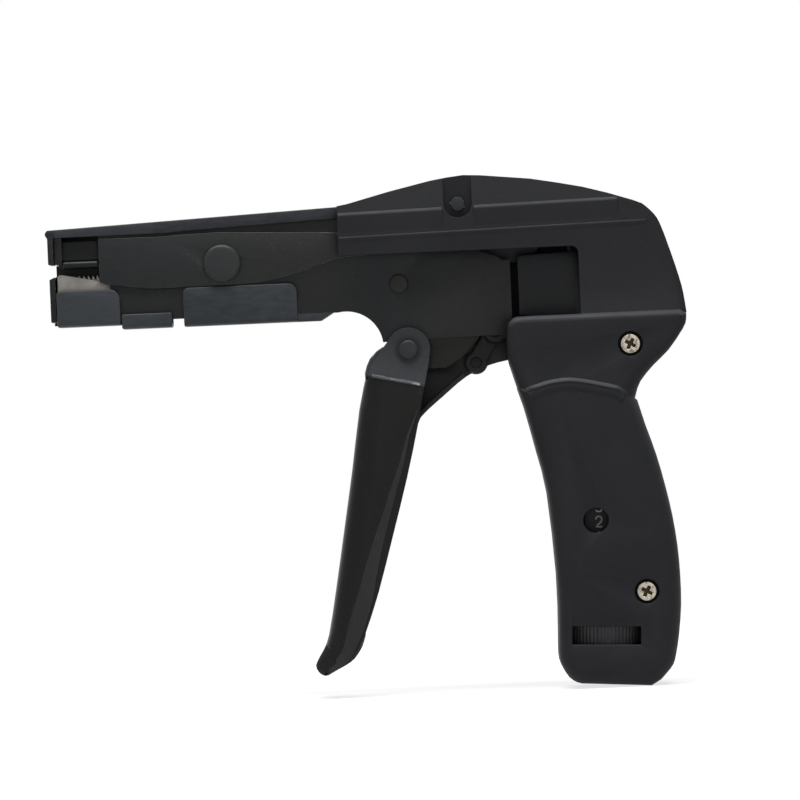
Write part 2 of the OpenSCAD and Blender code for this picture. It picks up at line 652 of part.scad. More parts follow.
// Cap over the top of the barrel, folded down at the nose
cap_flange = 3.2;
cap_back = 62;
lip_t = 1.6;
lip_reach = 1.9;
cap_overhang = 0.6;
lip_drop = 9.8;
module top_cap() color([0.21, 0.21, 0.22]) {
    difference() {
        side(-guard_out, guard_out) polygon([
            cap_line(-nose_reach - lip_reach - cap_overhang, 0.25 * cap_flange),
            cap_line(-nose_reach - lip_reach - cap_overhang, 0.45 * cap_flange),
            cap_line(-nose_reach - lip_reach, cap_flange * 0.7),
            cap_line(-nose_reach, cap_flange * 0.7),
            cap_line(-0.79 * nose_reach, cap_flange * 1.05),
            cap_line(-0.78 * nose_reach, cap_flange),
            cap_line(-cap_back, cap_flange),
            cap_line(-cap_back, 0),
            cap_line(-nose_reach - lip_reach, 0)
        ]);
        side(-frame_out, frame_out) polygon([
            cap_line(-nose_reach, guard_t),
            cap_line(-nose_reach, 2 * cap_flange),
            cap_line(-cap_back + over, 2 * cap_flange),
            cap_line(-cap_back + over, guard_t)
        ]);
    }
    translate([-nose_reach - lip_reach, -guard_out, cap_top_z - lip_drop])
        cube([lip_t, 2 * guard_out, lip_drop - cap_flange / 2]);
}

// Folded guards under the barrel
floor_z = grip_h + barrel_floor;
guard_drop = 1.2;
module guard(x0, x1, z, h, rounds) intersection() {
    channel(x0, x1, z, h + over, guard_t);
    side(-guard_out - over, guard_out + over) rounded_top([x0, z], [x1, z + h], rounds);
}
nose_guard_h = 0.407 * barrel_h;
nose_guard_share = 0.883;
nose_guard_rounds = [0.9, 3];
module nose_guard() color([0.23, 0.23, 0.24])
    guard(-nose_reach, -nose_guard_share * nose_reach, floor_z - guard_t, nose_guard_h, nose_guard_rounds);
barrel_guard_h = 0.434 * barrel_h;
barrel_guard_shares = [0.766, 0.556];
barrel_guard_rounds = [1.6, 2.4];
tongue_shares = [0.56, 0.513, 0.487];
module barrel_guard() color([0.23, 0.23, 0.24]) {
    guard(
        -barrel_guard_shares[0] * nose_reach, -barrel_guard_shares[1] * nose_reach,
        floor_z - guard_t - guard_drop, barrel_guard_h, barrel_guard_rounds
    );
    side(-frame_out, frame_out) polygon([
        [-tongue_shares[0] * nose_reach, floor_z - guard_t - guard_drop],
        [-tongue_shares[1] * nose_reach, floor_z - guard_t - guard_drop],
        [-tongue_shares[2] * nose_reach, floor_z],
        [-tongue_shares[0] * nose_reach, floor_z]
    ]);
}
tab_h = 0.167 * barrel_h;
tab_shares = [0.881, 0.788];
tab_rounds = [0.5, 0.5];
module barrel_tab() color([0.21, 0.21, 0.22])
    guard(-tab_shares[0] * nose_reach, -tab_shares[1] * nose_reach, floor_z - guard_t - guard_drop,
        tab_h, tab_rounds);

// Anvil: the slot's upper jaw between the frame plates, with a rounded lip on the near side
anvil_h = 0.303 * barrel_h;
anvil_front = 0.6;
anvil_back = 1;
lip_r = 1;
module tie_anvil() color([0.19, 0.19, 0.2]) {
    side(-gap_out, gap_out) polygon([
        [-nose_reach + anvil_front, grip_h + slot_up + mouth_rise],
        [-nose_reach + mouth_front, grip_h + slot_up],
        [-nose_reach + slot_depth - anvil_back, grip_h + slot_up],
        [-nose_reach + slot_depth - anvil_back, grip_h + slot_up + anvil_h],
        [-nose_reach + anvil_front, grip_h + slot_up + anvil_h]
    ]);
    translate([-nose_reach + mouth_front + run_gap, -frame_out, grip_h + slot_up + lip_r])
        rotate([0, 90, 0]) cylinder(r = lip_r, h = near_window_l - 2 * run_gap);
    translate([-nose_reach + mouth_front + run_gap, -frame_out, grip_h + slot_up])
        cube([near_window_l - 2 * run_gap, frame_t + side_fit, 2 * lip_r]);
}

// Rivet through the barrel: a domed head on each side of the plates
head_h = 1.5;
module dome(d, h) rotate_extrude() polygon(concat(
    [[0, 0], [d / 2, 0], [d / 2, h * 0.45]],
    [for (a = [30 : 30 : 90]) [d / 2 - h * 0.9 * (1 - cos(a)), h * 0.45 + h * 0.55 * sin(a)]],
    [[0, h]]
));
module head_y(c, d, h, y) translate([c[0], -y, c[1]]) rotate([90, 0, 0]) dome(d, h);
module barrel_rivet() color([0.22, 0.22, 0.23]) {
    across(rivet_c, rivet_d, -barrel_out, barrel_out);
    pair() head_y(rivet_c, rivet_head_d, head_h, barrel_out);
}

// Pins across the frame
frame_head_d = 1.275 * pin_d;
frame_head_h = 0.6;
trigger_head_d = 1.35 * pin_d;
trigger_head_h = 1;
top_stand = 1;
module frame_pin() color([0.25, 0.25, 0.22]) {
    across(frame_c, pin_d, -frame_out, frame_out);
    pair() head_y(frame_c, frame_head_d, frame_head_h, frame_out);
}
module top_pin() color([0.24, 0.24, 0.25]) across(top_c, pin_d, -recess_floor - top_stand,
    recess_floor + top_stand);
module trigger_pin() color([0.24, 0.24, 0.25]) {
    across(trigger_c, pin_d, -ear_out, ear_out);
    pair() head_y(trigger_c, trigger_head_d, trigger_head_h, ear_out);
}

// Yoke: two plates behind the frame plates that carry the pull lever and take the tension spring
yoke_front = 22.3;
spring_pin_c = [-0.1 * housing_back, 0.925 * grip_h];
yoke_eye = 3.2;
module yoke_shape() difference() {
    union() {
        polygon([
            [-0.305 * yoke_front, grip_h - 0.4 * plate_drop],
                [spring_pin_c[0] - yoke_eye * 0.9, spring_pin_c[1]],
            [spring_pin_c[0] + yoke_eye * 0.9, spring_pin_c[1]],
                [0.197 * yoke_front, grip_h - 0.6 * plate_drop],
            [0.197 * yoke_front, grip_h + 0.5 * sill_up], [-window_back, grip_h + 0.93 * sill_up],
            [-0.933 * yoke_front, grip_h + 0.9 * sill_up], [-yoke_front, grip_h + 0.88 * sill_up],
            [-yoke_front, grip_h + 0.12 * plate_drop]
        ]);
        disc(spring_pin_c, yoke_eye);
        disc(lever_c, 2 * yoke_eye - over);
    }
    disc(lever_c, pin_d / 2 + pin_fit);
    disc(spring_pin_c, link_pin_d / 2 + pin_fit);
}
module yoke_plate_left() color([0.2, 0.21, 0.2]) side(-frame_out, -gap_out) yoke_shape();
module yoke_plate_right() color([0.2, 0.21, 0.2]) side(gap_out, frame_out) yoke_shape();
module lever_pin() color("silver") across(lever_c, pin_d, -housing_out + wall + side_fit,
    housing_out - wall - side_fit);
module spring_pin() color("silver") across(spring_pin_c, link_pin_d, -frame_out, frame_out);

// Trigger: a folded channel with flared lips, open to the rear, hung from two ears
trigger_front = smooth([[0.406, 0.063], [0.495, 0.18], [0.587, 0.364], [0.689, 0.549], [0.792, 0.733],
    [0.877, 0.871], [0.93, 0.915], [0.985, 0.957], [0.99, 0.985]], 2);
trigger_back = smooth([[-0.13, 0.115], [-0.061, 0.235], [0.065, 0.397], [0.218, 0.568], [0.382, 0.745],
    [0.519, 0.866], [0.588, 0.912], [0.72, 0.957], [0.93, 0.998]], 2);
width_shares = smooth([0.8, 0.86, 0.95, 1, 1, 0.98, 0.94, 0.85, 0.7], 2);
function on_trigger(s) = trigger_c + [-s[0] * trigger_reach, -s[1] * trigger_l];
section_shares = [[0, 0], [0, 0.42], [0.05, 0.68], [0.14, 0.87], [0.28, 0.97], [0.45, 1]];

// Outer half section at station i: [distance behind the front edge, half width]
function section_l(i) = norm(on_trigger(trigger_back[i]) - on_trigger(trigger_front[i]));
function section(i) =
    let (w = trigger_out * width_shares[i], l = section_l(i), f = i == 0 ? 0 : lip_flare)
        concat(
            [for (s = section_shares) [s[0] * min(l, 2 * w), s[1] * w]],
            [[l * 0.62, w], [l * 0.84, w + f * 0.45], [l, w + f]]
        );

// The same section drawn in by the sheet's thickness
function inner_section(i) =
    let (l = section_l(i))
        [for (q = section(i)) [trigger_t + q[0] * (1 - trigger_t / l), q[1] - min(trigger_t, q[1])]];

// Closed ring of the sheet at station i, once round the outside and back along the inside
function mirrored(h) = concat([for (k = [len(h) - 1 : -1 : 1]) [h[k][0], -h[k][1]]], h);
function station_ring(i) =
    let (
        a = on_trigger(trigger_front[i]),
        u = unit(on_trigger(trigger_back[i]) - a),
        outer = mirrored(section(i)),
        inner = mirrored(inner_section(i)),
        ring = concat(outer, [for (k = [len(inner) - 1 : -1 : 0]) inner[k]])
    )
        [for (q = ring) [a[0] + u[0] * q[0], q[1], a[1] + u[1] * q[0]]];
module trigger_shell() loft([for (i = [0 : len(trigger_front) - 1]) station_ring(i)]);
ear_low = [[0.14, -0.05], [0.26, -0.002], [0.37, 0.045], [0.4, 0.085], [0.42, 0.16], [-0.06, 0.21],
    [-0.13, 0.13], [-0.2, 0.03]];
module trigger() color([0.16, 0.16, 0.17]) difference() {
    union() {
        resize([0, 0, 0]) trigger_shell();
        pair() side(-ear_out, -ear_in) {
            disc(trigger_c, ear_r);
            polygon([for (s = ear_low) on_trigger(s)]);
        }
    }
    pair() across(trigger_c, pin_d + 2 * pin_fit, -ear_out - over, -ear_in + over);
}

// Inner arm of the trigger: a plate on the right, with a web in the trigger's channel and a folded lower edge
arm_eye = 3.3;
arm_front = [[0.3, 0.06], [0.45, 0.2], [0.535, 0.38]];
arm_under = smooth([
    on_trigger([0.1, 0.38]), on_trigger([-0.06, 0.235]), on_trigger([-0.13, 0.2]), on_trigger([-0.31, 0.151]),
    on_trigger([-0.546, 0.0916]), on_trigger([-0.775, 0.0585]), on_trigger([-0.98, 0.044])
], 3);
arm_tip_h = 4.2;
rim_count = 12;
module trigger_arm() color([0.18, 0.18, 0.19]) difference() {
    union() {
        side(core_out + side_fit, arm_out) {
            disc(trigger_c, eye_r);
            disc(arm_c, arm_eye);
            polygon(concat(
                [for (s = arm_front) on_trigger(s)],
                arm_under,
                [
                    on_trigger([-0.98, 0.044]) + [0, 2 * arm_tip_h],
                    arm_c + [-arm_eye * 0.3, 2 * arm_tip_h],
                    trigger_c + [eye_r * 0.5, eye_r * 0.8],
                    trigger_c + [-eye_r * 0.8, eye_r * 0.2]
                ]
            ));
        }
        side(-core_out, arm_out) polygon(concat(
            [for (k = [0 : rim_count]) arm_under[k]],
            [for (k = [rim_count : -1 : 0]) arm_under[k] + arm_t * [-0.5, 0.87]]
        ));
        side(-arm_out, arm_out) polygon(concat(
            [on_trigger(arm_front[1]), on_trigger(arm_front[2])],
            [for (i = [2, 1]) on_trigger(arm_front[i] - [2 * arm_t / trigger_reach, 0])]
        ));
    }
    across(trigger_c, pin_d + 2 * pin_fit, -gap_out, gap_out);
    across(arm_c, link_pin_d + 2 * pin_fit, -gap_out, gap_out);
}
module arm_pin() color("silver") across(arm_c, link_pin_d, -core_out, arm_out);

// Push link from the trigger's arm up to the pull lever, with a slot that takes up the drift between their arcs
link_eye = 3;
link_play = 0.12;
slot_wall = 1.4;
drift = [for (f = [0 : 0.25 : 1]) (low_at(f) - arm_at(f))[0]];
link_slot_z = arm_c[1] + ((low_at(0) - arm_at(0))[1] + (low_at(0.5) - arm_at(0.5))[1]) / 2;
link_slot_a = [arm_c[0] + min(drift), link_slot_z];
link_slot_b = [arm_c[0] + max(drift), link_slot_z];
module slotted(a, b, r) {
    disc(a, r);
    disc(b, r);
    strap(a, b, 2 * r);
}
module push_link() color([0.45, 0.45, 0.46]) difference() {
    side(-core_out, core_out) difference() {
        union() {
            disc(arm_c, link_eye);
            slotted(link_slot_a, link_slot_b, link_pin_d / 2 + link_play + slot_wall);
            strap(arm_c, (link_slot_a + link_slot_b) / 2, 1.6 * link_eye);
        }
        slotted(link_slot_a, link_slot_b, link_pin_d / 2 + link_play);
    }
    across(arm_c, link_pin_d + 2 * pin_fit, -core_t, core_t);
}

// Pull lever: two plates on the lever pin, up to the rod, of which the left one also reaches down to the push link
lever_eye = 5;
module lever_up() {
    disc(lever_c, lever_eye);
    disc(high_c, link_eye);
    strap(lever_c, high_c, 1.7 * link_eye);
    disc(post_c, post_d);
    strap(high_c, post_c, 2 * post_d);
}
module lever_down() {
    disc(low_c, link_eye);
    strap(lever_c, low_c, 1.7 * link_eye);
    polygon([lever_c, high_c * 0.45 + lever_c * 0.55, low_c * 0.45 + lever_c * 0.55 + [0, link_eye * 0.7]]);
}
module lever_bores() {
    disc(lever_c, pin_d / 2 + pin_fit);
    disc(low_c, link_pin_d / 2 + pin_fit);
    disc(high_c, link_pin_d / 2 + pin_fit);
}
post_c = high_c + lever_high * [0.026, 0.213];
post_d = 1.6;
module pull_lever() color([0.4, 0.4, 0.41]) {
    side(-arm_out, -arm_in) difference() {
        union() {
            lever_up();
            lever_down();
        }
        lever_bores();
    }
    side(arm_in, arm_out) difference() {
        lever_up();
        lever_bores();
    }
    across(post_c, post_d, -arm_in, arm_in);
}
module lever_link_pins() color("silver") {
    across(low_c, link_pin_d, -arm_out, core_out);
    across(high_c, link_pin_d, -arm_out, arm_out);
}

// Pull rod: a flat bar slotted round the rivet, stepped up at its back to the pull lever
rod_low = 0.34;
rod_high = 0.76;
rod_front_share = 1.6;
rod_eye = 3.8;
pawl_c = nose(1.2, 0.37);
pawl_pin_d = 0.8 * link_pin_d;
rod_slot_h = rivet_d + 2 * pin_fit;
module pull_rod() color([0.5, 0.5, 0.52]) difference() {
    side(-core_out, core_out) difference() {
        union() {
            polygon([
                nose(rod_front_share, rod_low), barrel(0.4, 0.42), barrel(-0.35, 0.5),
                [high_c[0] - 4.2 * link_eye, high_c[1] - 3 * link_eye],
                    [high_c[0] - 2.6 * link_eye, high_c[1] - 0.9 * link_eye],
                [high_c[0], high_c[1] - 0.9 * link_eye], [high_c[0], high_c[1] + 0.5 * link_eye],
                [high_c[0] - 3.2 * link_eye, high_c[1] + 0.25 * link_eye],
                    [high_c[0] - 5.6 * link_eye, high_c[1] - 1.1 * link_eye],
                barrel(-0.25, 0.78), nose(rod_front_share, rod_high)
            ]);
            disc(high_c, rod_eye);
            strap(nose(rod_front_share + 0.05, 0.44), pawl_c, 1.6 * link_eye);
            disc(pawl_c, link_eye);
        }
        translate(rivet_c) translate([-stroke - rod_slot_h / 2 - run_gap,
            -rod_slot_h / 2]) square([stroke + rod_slot_h + 2 * run_gap, rod_slot_h]);
        translate(high_c - [link_pin_d / 2 + run_gap,
            link_pin_d / 2 + pin_fit]) square([link_pin_d + 2 * run_gap,
            link_pin_d + 2 * pin_fit + 2 * run_gap]);
    }
    across(pawl_c, pawl_pin_d + 2 * pin_fit, -core_t, core_t);
}
module pawl_pin() color("silver") across(pawl_c, pawl_pin_d, -arm_out, arm_out);

// Gripper pawl: two arms round the rod's end, joined in front under the toothed crest
pawl_front = nose_reach - run_gap;
pawl_l = pawl_front + pawl_c[0];
pawl_h = 0.219 * barrel_h;
pawl_top_z = grip_h + slot_low + 0.5 * slot_h;
function on_pawl(s) = [-pawl_front + s[0] * pawl_l, pawl_top_z - s[1] * pawl_h];
arm_shares = [[0, 0.12], [0, 0.95], [0.35, 1.12], [1.12, 1.18], [1.12, 0.58], [0.83, 0.5], [0.42, 0.22],
    [0.08, 0], [0.03, 0]];
crest_shares = [[0, 0.12], [0, 0.95], [0.68, 1.02]];
brow_shares_pawl = [[0.3, 0.24], [0.08, 0.1], [0.03, 0.02]];
pawl_eye = 2.1;
teeth = 5;
tooth_front_share = 0.33;
tooth_h = 0.27 * pawl_h;
function tooth(i, k) = on_pawl([0.68 - (0.68 - tooth_front_share) * (i + k * 0.85) / teeth, 0.33]) + [0,
    k * tooth_h];
module gripper_pawl() color([0.55, 0.53, 0.5]) difference() {
    union() {
        pair() side(-arm_out, -arm_in) {
            polygon([for (s = arm_shares) on_pawl(s)]);
            disc(pawl_c, pawl_eye);
        }
        side(-arm_in, arm_in) polygon(concat(
            [for (s = crest_shares) on_pawl(s)],
            [for (i = [0 : teeth - 1], k = [0, 1]) tooth(i, k)],
            [for (s = brow_shares_pawl) on_pawl(s)]
        ));
    }
    across(pawl_c, pawl_pin_d + 2 * pin_fit, -gap_out, gap_out);
}

// Leaf spring under the pawl, from under its crest to behind its pin
leaf_t = 0.5;
leaf_front = 7;
leaf_back = 7.6;
leaf_bend = 2;
leaf_drop = link_eye + run_gap / 4;
leaf_line = [[-leaf_front, 0], [leaf_bend, -0.8 * leaf_t], [leaf_back, 0]];
module pawl_spring() color("silver") side(-core_out / 2, core_out / 2) translate(pawl_c - [0,
    leaf_drop]) polygon(concat(
    [for (q = leaf_line) q - [0, leaf_t]],
    [for (i = [len(leaf_line) - 1 : -1 : 0]) leaf_line[i]]
));

// Cut-off lever: pivots on the frame pin, reaches along the barrel floor to the blade, with a round tail
tail_from = -35;
tail_to = -63;
cutoff_swing = 1.9;
blade_gap = 0.2;
tip_h = 1.8;
cutoff_z = floor_z + 1.05 * tip_h;
module cutoff_lever() color([0.3, 0.31, 0.28]) difference() {
    side(-arm_out, -arm_in) {
        disc(frame_c, 1.4 * pin_d);
        polygon(concat(
            [frame_c + [-0.4 * pin_d, -pin_d], frame_c + tail_r * [0.2, sin(tail_to)]],
            arc(frame_c, tail_r, tail_to, tail_from, 12),
            [frame_c + tail_r * [0.53, -0.47], frame_c + [0.6 * pin_d, 0]]
        ));
        polygon([
            frame_c + [0, 1.2 * pin_d], [-housing_front, cutoff_z + 1.3 * tip_h],
                nose(1.18, 0) + [0, 1.95 * tip_h],
            [-blade_front + blade_t / 4, cutoff_z + tip_h / 2],
                [-blade_front + blade_t / 4, cutoff_z - tip_h / 2],
            [-housing_front, floor_z + tip_h / 2], frame_c + [-pin_d, -1.2 * pin_d]
        ]);
    }
    across(frame_c, pin_d + 2 * pin_fit, -gap_out, 0);
    across(trigger_c, pin_d + 2 * run_gap + 2 * tail_r * sin(cutoff_swing), -gap_out, 0);
}

// Cutter blade: slides up the front of the plates to close the slot's mouth
blade_t = 1.6;
blade_front = nose_reach + blade_gap + blade_t;
blade_foot = 0.3;
blade_rise = 1.2;
blade_low = floor_z + blade_foot;
blade_high = grip_h + slot_low + blade_rise;
blade_side = 0.4;
edge_drop = 0.7;
module cutter_blade() color([0.5, 0.5, 0.5]) difference() {
    side(-frame_out + blade_side, frame_out - blade_side) polygon([
        [-blade_front, blade_low], [-nose_reach - blade_gap, blade_low],
        [-nose_reach - blade_gap, blade_high], [-blade_front, blade_high - edge_drop]
    ]);
    side(-arm_out - side_fit, -arm_in + side_fit)
        translate([-blade_front - over, cutoff_z - tip_h / 2 - side_fit]) square([blade_t + 2 * over,
            tip_h + 2 * side_fit]);
}

// Tension knob: a ribbed thumbwheel on the tension screw
rib_deep = 0.35;
module tension_knob() color([0.2, 0.2, 0.21]) adjuster() difference() {
    translate([0, 0, -knob_h / 2]) linear_extrude(height = knob_h) difference() {
        polygon([
            for (i = [0 : knob_ribs - 1], k = [0, 1])
                (knob_d / 2 - k * rib_deep) * [cos((i + k / 2) * rib_turn), sin((i + k / 2) * rib_turn)]
        ]);
        circle(d = screw_d);
    }
}
rib_turn = 360 / knob_ribs;
screw_low = -7;
hook_z = 46;
hook_bar = 2.4;
screw_high = hook_z - 1.5 * hook_bar - 2 * setting_step - run_gap;
module tension_screw() color("silver") adjuster() translate([0, 0, screw_low]) cylinder(d = screw_d, h = screw_high - screw_low);

// Carrier: the nut on the tension screw, with a hook eye for the spring and an arm to the scale
carrier_t = 1.6;
scale_t = 0.8;
scale_w = 8;
scale_l = 22;
carrier_z = 25;
carrier_h = 11;
carrier_w = 11;
carrier_y = 7;
module tension_carrier() color([0.3, 0.3, 0.32]) adjuster() difference() {
    union() {
        translate([-carrier_w / 2, -carrier_y / 2, carrier_z]) cube([carrier_w, carrier_y, carrier_h]);
        for (x = [-carrier_w / 2, carrier_w / 2 - carrier_t])
            translate([x, -carrier_y / 2, carrier_z]) cube([carrier_t, carrier_y, hook_z - carrier_z]);
        translate([-carrier_w / 2, 0, hook_z - hook_bar]) rotate([0, 90, 0]) cylinder(d = hook_bar,
            h = carrier_w);
        translate([-carrier_w / 2, -scale_y + scale_t, carrier_z])
            cube([carrier_w * 0.8, scale_y - scale_t - carrier_y / 2 + over, carrier_h]);
    }
    cylinder(d = screw_d + 2 * pin_fit, h = hook_z - 2 * hook_bar);
}
scale_side = 6.2;
scale_z = carrier_z - scale_t / 2;
scale_y = cavity_out - 2 * side_fit;
module number_scale() color([0.08, 0.08, 0.09]) adjuster() translate([-scale_side, -scale_y,
    scale_z]) cube([scale_w, scale_t, scale_l]);

// Path of an extension spring between side-view points a and b, in the spring's own frame: Z runs from a to b
coil_steps = 8;
coil_turn = 360 / coil_steps;
function spring_path(l, r, turns, leg) = concat(
    [[0, 0, 0], [0, 0, leg * 0.8]],
    [
        for (k = [0 : turns * coil_steps])
            [r * cos(k * coil_turn), r * sin(k * coil_turn), leg + k * (l - 2 * leg) / (turns * coil_steps)]
    ],
    [[0, 0, l - leg * 0.8], [0, 0, l]]
);
wire_sides = 6;
wire_turn = 360 / wire_sides;
module wire(path, d) {
    n = len(path);
    loft([
        for (i = [0 : n - 1])
            let (
                t = unit(path[min(i + 1, n - 1)] - path[max(i - 1, 0)]),
                u = unit(abs(t[2]) > 0.9 ? [t[2], 0, -t[0]] : [-t[1], t[0], 0]),
                v = cross3(t, u)
            )
                [for (k = [0 : wire_sides - 1]) path[i] + d / 2 * (cos(k * wire_turn) * u + sin(k * wire_turn) * v)]
    ]);
}
module spring_between(a, b, d, wire_d, turns, leg) translate([a[0],
    0, a[1]]) rotate([0, atan2(b[0] - a[0], b[1] - a[1]), 0])
    wire(spring_path(norm(b - a), (d - wire_d) / 2, turns, leg), wire_d);
hook_up = hook_z + hook_bar / 3;
spring_low_c = [-knob_x + hook_up * sin(knob_tilt), knob_z + hook_up * cos(knob_tilt)];
spring_high_c = spring_pin_c - [0, 0.5 * link_pin_d + 0.6 * spring_wire_d];
spring_turns = 12;
spring_leg = 5;
module tension_spring() color("gainsboro")
    spring_between(spring_low_c, spring_high_c, spring_d, spring_wire_d, spring_turns, spring_leg);
return_d = 4.4;
return_wire_d = 0.8;
return_turns = 14;
return_leg = 4;
module return_spring() color("gainsboro") spring_between(
    top_c + [0.5 * pin_d + 0.6 * return_wire_d, 0], post_c - [0.5 * post_d + 0.6 * return_wire_d, 0],
    return_d, return_wire_d, return_turns, return_leg
);

housing_left();
housing_right();
housing_screws();
frame_plate_left();
frame_plate_right();
barrel_plate_left();
barrel_plate_right();
top_cap();
nose_guard();
barrel_guard();
barrel_tab();
tie_anvil();
barrel_rivet();
frame_pin();
top_pin();
trigger_pin();
yoke_plate_left();
yoke_plate_right();
lever_pin();
spring_pin();
trigger();
trigger_arm();
arm_pin();
push_link();
pull_lever();
lever_link_pins();
pull_rod();
pawl_pin();
pawl_spring();
gripper_pawl();
cutoff_lever();
cutter_blade();
tension_knob();
tension_screw();
tension_carrier();
number_scale();
tension_spring();
return_spring();
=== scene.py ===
import math

import bmesh
import bpy
from mathutils import Matrix, Vector
from mathutils.bvhtree import BVHTree


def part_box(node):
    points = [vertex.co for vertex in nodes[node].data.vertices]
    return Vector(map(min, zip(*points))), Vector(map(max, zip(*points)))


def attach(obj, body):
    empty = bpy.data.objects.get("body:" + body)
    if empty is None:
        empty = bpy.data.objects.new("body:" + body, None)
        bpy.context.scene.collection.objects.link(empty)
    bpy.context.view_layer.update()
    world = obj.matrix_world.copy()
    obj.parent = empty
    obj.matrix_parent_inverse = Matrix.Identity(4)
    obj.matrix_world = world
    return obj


MM = 0.001
LEFT, RIGHT = -1, 1

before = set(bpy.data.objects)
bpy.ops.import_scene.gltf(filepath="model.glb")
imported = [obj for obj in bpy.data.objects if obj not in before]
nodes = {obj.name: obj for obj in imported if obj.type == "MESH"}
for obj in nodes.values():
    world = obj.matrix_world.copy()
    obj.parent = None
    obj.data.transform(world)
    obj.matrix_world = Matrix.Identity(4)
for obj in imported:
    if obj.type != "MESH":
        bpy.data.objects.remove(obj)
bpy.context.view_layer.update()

scene = bpy.context.scene
scene.view_settings.view_transform = "Standard"

# ---------------------------------------------------------------- camera
# It looks square at the left side, rolled by PHOTO_TILT, and SPAN metres of the near face fill the frame
PHOTO_TILT = math.radians(2.5)
CENTRE = Vector((-0.05694, 0.0, 0.08236))
SPAN = 0.224
DISTANCE = 1.6
SENSOR_MM = 36.0
NEAR_FACE = 0.0115
CLIP_END = 20

cam_data = bpy.data.cameras.new("camera")
cam = bpy.data.objects.new("camera", cam_data)
scene.collection.objects.link(cam)
right = Vector((math.cos(PHOTO_TILT), 0, -math.sin(PHOTO_TILT)))
up = Vector((math.sin(PHOTO_TILT), 0, math.cos(PHOTO_TILT)))
back = right.cross(up)
turn = Matrix((right, up, back)).transposed()
cam.matrix_world = Matrix.Translation(CENTRE + back * (DISTANCE + NEAR_FACE)) @ turn.to_4x4()
cam_data.sensor_width = SENSOR_MM
cam_data.lens = SENSOR_MM * DISTANCE / SPAN
cam_data.clip_end = CLIP_END
bpy.context.scene.camera = cam

# ---------------------------------------------------------------- material tools
BEVEL_SAMPLES = 6


class Nodes:
    """A small helper that builds one material's node tree."""

    def __init__(self, name):
        self.mat = bpy.data.materials.new(name)
        self.mat.use_nodes = True
        self.tree = self.mat.node_tree
        self.shader = self.tree.nodes["Principled BSDF"]
        self.coord = self.tree.nodes.new("ShaderNodeTexCoord").outputs["Object"]

    def node(self, kind, **values):
        n = self.tree.nodes.new(kind)
        for key, value in values.items():
            setattr(n, key, value)
        return n

    def link(self, a, b):
        self.tree.links.new(a, b)

    def geometry_normal(self):
        return self.node("ShaderNodeNewGeometry").outputs["Normal"]

    def stretched(self, scale):
        """The object's own coordinates, scaled along each axis."""
        m = self.node("ShaderNodeMapping")
        m.inputs["Scale"].default_value = scale
        self.link(self.coord, m.inputs["Vector"])
        return m.outputs["Vector"]

    def along(self, axis, vector=None):
        """One component of a vector."""
        n = self.node("ShaderNodeSeparateXYZ")
        self.link(vector or self.coord, n.inputs[0])
        return n.outputs[axis]

    def vector(self, operation, a, b, result="Vector"):
        """A vector operation on socket a and the fixed vector b."""
        n = self.node("ShaderNodeVectorMath", operation=operation)
        n.inputs[1].default_value = b
        self.link(a, n.inputs[0])
        return n.outputs[result]

    def noise(self, scale, detail, rough, vector=None, distortion=0.0):
        n = self.node("ShaderNodeTexNoise")
        n.inputs["Scale"].default_value = scale
        n.inputs["Detail"].default_value = detail
        n.inputs["Roughness"].default_value = rough
        n.inputs["Distortion"].default_value = distortion
        self.link(vector or self.coord, n.inputs["Vector"])
        return n.outputs["Fac"]

    def voronoi(self, scale):
        n = self.node("ShaderNodeTexVoronoi")
        n.inputs["Scale"].default_value = scale
        self.link(self.coord, n.inputs["Vector"])
        return n.outputs["Distance"]

    def ranged(self, value, low, high, to_low=0.0, to_high=1.0):
        n = self.node("ShaderNodeMapRange", clamp=True)
        n.inputs["From Min"].default_value = low
        n.inputs["From Max"].default_value = high
        n.inputs["To Min"].default_value = to_low
        n.inputs["To Max"].default_value = to_high
        self.link(value, n.inputs["Value"])
        return n.outputs["Result"]

    def maths(self, operation, a, b):
        n = self.node("ShaderNodeMath", operation=operation)
        for socket, value in zip(n.inputs, (a, b)):
            if isinstance(value, (int, float)):
                socket.default_value = value
            else:
                self.link(value, socket)
        return n.outputs["Value"]

    def mix(self, factor, a, b):
        n = self.node("ShaderNodeMix", data_type="RGBA")
        self.link(factor, n.inputs["Factor"])
        for socket, value in ((n.inputs["A"], a), (n.inputs["B"], b)):
            if isinstance(value, tuple):
                socket.default_value = (*value, 1.0)
            else:
                self.link(value, socket)
        return n.outputs["Result"]

    def rounded(self, radius):
        bevel = self.node("ShaderNodeBevel", samples=BEVEL_SAMPLES)
        bevel.inputs["Radius"].default_value = radius
        return bevel.outputs["Normal"]

    def edge(self, radius, low, high):
        """A mask that is 1 on sharp outer edges."""
        dot = self.node("ShaderNodeVectorMath", operation="DOT_PRODUCT")
        self.link(self.rounded(radius), dot.inputs[0])
        self.link(self.geometry_normal(), dot.inputs[1])
        return self.ranged(self.maths("SUBTRACT", 1.0, dot.outputs["Value"]), low, high)

    def bump(self, height, distance, normal=None, strength=1.0):
        n = self.node("ShaderNodeBump")
        n.inputs["Strength"].default_value = strength
        n.inputs["Distance"].default_value = distance
        self.link(height, n.inputs["Height"])
        if normal is not None:
            self.link(normal, n.inputs["Normal"])
        return n.outputs["Normal"]

    def finish(self, colour, rough, normal, metallic=0.0, specular=0.5):
        s = self.shader
        self.link(colour, s.inputs["Base Color"])
        self.link(rough, s.inputs["Roughness"])
        self.link(normal, s.inputs["Normal"])
        s.inputs["Metallic"].default_value = metallic
        s.inputs["Specular IOR Level"].default_value = specular
        return self.mat


def shade(colour, factor):
    """The colour made lighter or darker, up to white."""
    return tuple(min(1.0, c * factor) for c in colour)


